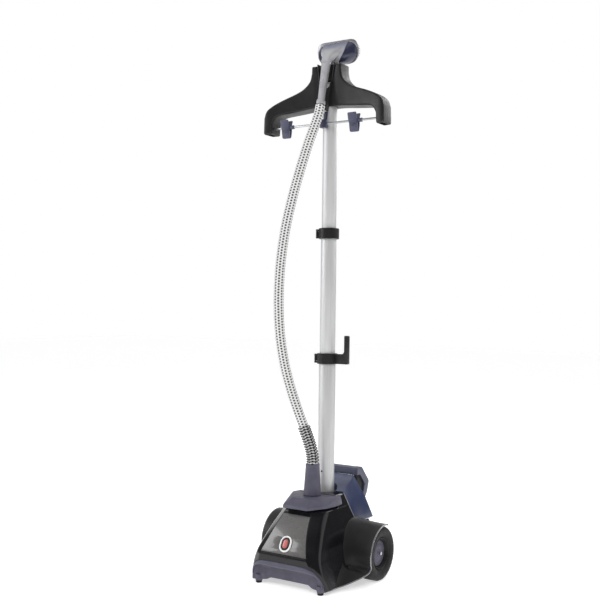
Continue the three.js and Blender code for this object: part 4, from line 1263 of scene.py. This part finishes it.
# ---------------------------------------------------------------- hose
HOSE_ROUTE = [
    (0, -77, 343), (0, -77, 353), (-2, -78.5, 374), (-7, -83, 400), (-20, -95, 450), (-34, -108, 500),
    (-52, -124, 570), (-66, -136, 640), (-76, -145, 720), (-80, -149, 800), (-80, -149, 870),
    (-76, -146, 950), (-67, -138, 1040), (-53, -125, 1130), (-38, -110, 1210), (-22, -92, 1290),
    (-9, -75, 1350), (-2, -65, 1385), (0, -58.6, 1411),
]
MARK_COLUMNS = 9
MARK_PITCH = 8.3
SPRING_LENGTH = 115
HOSE_SPLITS = (842, 1222)


def hose_tube(name, line, sides, ups, run, radius, swell):
    """A braided tube with UVs that count the marks, and a slight swell between them."""
    round_count = 6 * MARK_COLUMNS
    verts, faces, uvs = [], [], []
    for p, s, u, d in zip(line, sides, ups, run):
        for k in range(round_count):
            a = 2 * math.pi * k / round_count
            column = MARK_COLUMNS * k / round_count
            wave = math.sin(2 * math.pi * column) * math.sin(2 * math.pi * d / MARK_PITCH)
            r = radius - swell + swell * wave
            verts.append(tuple(p + (s * math.cos(a) + u * math.sin(a)) * r))
    rows = len(line)
    for i in range(rows - 1):
        for k in range(round_count):
            n = (k + 1) % round_count
            faces.append((i * round_count + k, i * round_count + n, (i + 1) * round_count + n,
                          (i + 1) * round_count + k))
            c0, c1 = MARK_COLUMNS * k / round_count, MARK_COLUMNS * (k + 1) / round_count
            v0, v1 = run[i] / MARK_PITCH, run[i + 1] / MARK_PITCH
            uvs += [(c0, v0), (c1, v0), (c1, v1), (c0, v1)]
    faces.append(tuple(reversed(range(round_count))))
    faces.append(tuple(range((rows - 1) * round_count, rows * round_count)))
    uvs += [(0.0, 0.0)] * (2 * round_count)
    mesh = bpy.data.meshes.new(name)
    mesh.from_pydata([metres(v) for v in verts], [], faces)
    layer = mesh.uv_layers.new(name="UVMap")
    layer.data.foreach_set("uv", [c for uv in uvs for c in uv])
    return linked(name, mesh)


def add_hose():
    whole = smooth_curve(HOSE_ROUTE, 1200)
    run = np.concatenate([[0], np.cumsum(np.linalg.norm(np.diff(whole, axis=0), axis=1))])
    sides, ups = frames_along(whole, (0, 1, 0))
    marks = [int(np.argmax(run > SPRING_LENGTH))]
    marks += [int(np.argmax(whole[:, 2] > z)) for z in HOSE_SPLITS] + [len(whole) - 1]
    parts = {}
    for name, a, b in zip(("steam_hose_low", "steam_hose_mid", "steam_hose_top"), marks, marks[1:]):
        pick = list(range(a, b, 2)) + [b]
        line = whole[pick]
        made = hose_tube(name, line, sides[pick], ups[pick], run[pick], HOSE_R, 0.25)
        parts[name] = (made, line, float(run[b] - run[a]))

    low, mid, top = (made for made, line, length in parts.values())
    finished(low, "root", "braid", "steam_hose", smooth=60)
    finished(mid, "pole_middle", "braid", smooth=60)
    for piece, joint, a, b in ((low, "pole_middle_slide", *marks[:2]),
                               (mid, "pole_upper_slide", *marks[1:3])):
        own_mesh(piece)
    top.data.materials.append(material("braid"))
    top.data.polygons.foreach_set("use_smooth", [True] * len(top.data.polygons))
    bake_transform(top)

    pick = list(range(0, marks[0] + 1, 2))
    line = whole[pick]
    sleeve = hose_tube("hose_spring_sleeve", line, sides[pick], ups[pick], run[pick], HOSE_R + 0.8, 0.2)
    finished(sleeve, "root", "braid", "hose_spring", smooth=60)
    turns = 14
    coil = []
    fine = smooth_curve(whole[:marks[0] + 1], turns * 30)
    for k, (p, side, up) in enumerate(zip(fine, *frames_along(fine, (0, 1, 0)))):
        a = 2 * math.pi * turns * k / len(fine)
        coil.append(p + (side * math.cos(a) + up * math.sin(a)) * (SPRING_R - 1.7))
    coil = [p for p in coil if p[2] > SOCKET_TOP + 1.5]
    spring = swept("hose_spring_coil", coil, circle(1.5, 8))
    finished(spring, "root", "satin_black", smooth=60)


# ---------------------------------------------------------------- what stays as CAD
def paint_cad():
    """Every CAD node that still shows gets its slot's material."""
    slots = {s["node"]: s["material_slot"] for s in frame["record"]["subparts"]}
    for name, node in frame["nodes"].items():
        if node.hide_render:
            continue
        node.data.materials.clear()
        node.data.materials.append(material(slots[name]))


# ---------------------------------------------------------------- studio
ROOM_LEVEL = 0.12
FLOOR_REACH = 14


def add_studio():
    world = bpy.data.worlds.new("studio")
    bpy.context.scene.world = world
    world.use_nodes = True
    tree = world.node_tree
    place = tree.nodes.new("ShaderNodeTexCoord").outputs["Generated"]

    def glow(direction, start, full, strength):
        """Brightness of the part of the room that lies one way."""
        dot = tree.nodes.new("ShaderNodeVectorMath")
        dot.operation = "DOT_PRODUCT"
        dot.inputs[1].default_value = Vector(direction).normalized()
        tree.links.new(place, dot.inputs[0])
        made = tree.nodes.new("ShaderNodeMapRange")
        made.interpolation_type = "SMOOTHSTEP"
        tree.links.new(dot.outputs["Value"], made.inputs["Value"])
        made.inputs["From Min"].default_value = start
        made.inputs["From Max"].default_value = full
        made.inputs["To Max"].default_value = strength
        return made.outputs["Result"]

    # the white sweep behind, the ceiling, a soft box at the left and a tall strip light at the right
    sources = [glow((-0.545, 0.839, 0), 0.82, 0.9, 1.0), glow((-0.32, -0.1, 0.94), 0.5, 0.92, 0.75),
               glow((-0.7, -0.6, 0.45), 0.8, 0.97, 0.8)]
    for strip in ((0.76, 0.42, 0.2), (0.73, 0.44, 0.36), (0.66, 0.47, 0.53), (0.57, 0.43, 0.7)):
        sources.append(glow(strip, 0.945, 0.98, 1.0))
    # the camera itself sees plain white
    sources.append(tree.nodes.new("ShaderNodeLightPath").outputs["Is Camera Ray"])
    level = None
    for source in sources:
        made = tree.nodes.new("ShaderNodeMath")
        made.operation = "MAXIMUM"
        if level is None:
            made.inputs[0].default_value = ROOM_LEVEL
        else:
            tree.links.new(level, made.inputs[0])
        tree.links.new(source, made.inputs[1])
        level = made.outputs[0]
    background = tree.nodes["Background"]
    background.inputs["Color"].default_value = (1, 1, 1, 1)
    tree.links.new(level, background.inputs["Strength"])

    mesh = bpy.data.meshes.new("floor")
    far = FLOOR_REACH
    mesh.from_pydata([(-far, -far, 0), (far, -far, 0), (far, far, 0), (-far, far, 0)], [], [(0, 1, 2, 3)])
    floor = linked("floor", mesh)
    made = Finish("floor", 0.8, Emission_Color=(1, 1, 1, 1), Emission_Strength=0.55, Specular_IOR_Level=0.1)
    made.use("Base Color", made.drift((0.85, 0.85, 0.85), 0.01, 2))
    mesh.materials.append(made.material)

    for name, place, energy, size, color in (
            ("key", (2.2, -2.6, 2.9), 75, 1.6, (1, 1, 1)),
            ("fill", (-2.8, -1.8, 1.8), 32, 1.8, (0.97, 0.98, 1)),
            ("back", (0.6, 3.0, 2.6), 45, 2.0, (1, 1, 1))):
        data = bpy.data.lights.new(name, "AREA")
        data.energy = energy
        data.size = size
        data.color = color
        light = linked(name, data)
        light.visible_glossy = name != "key"
        light.location = Vector(place)
        light.rotation_euler = (Vector((0, 0, 0.7)) - light.location).to_track_quat("-Z", "Y").to_euler()
    bpy.context.scene.view_settings.view_transform = "Standard"


add_camera()
add_hose()
add_base()
add_cap()
add_socket()
add_skirt()
add_trims()
add_button()
add_wheels()
add_tank()
add_pole()
add_collar("lower", 636, 25.3, 23.7, 660, "root")
add_collar("upper", 1016, 23.7, 22.1, 1040, "pole_middle")
add_hook()
add_hanger()
add_cradle()
add_rod()
add_clip("left")
add_clip("right")
add_head()
paint_cad()
add_studio()
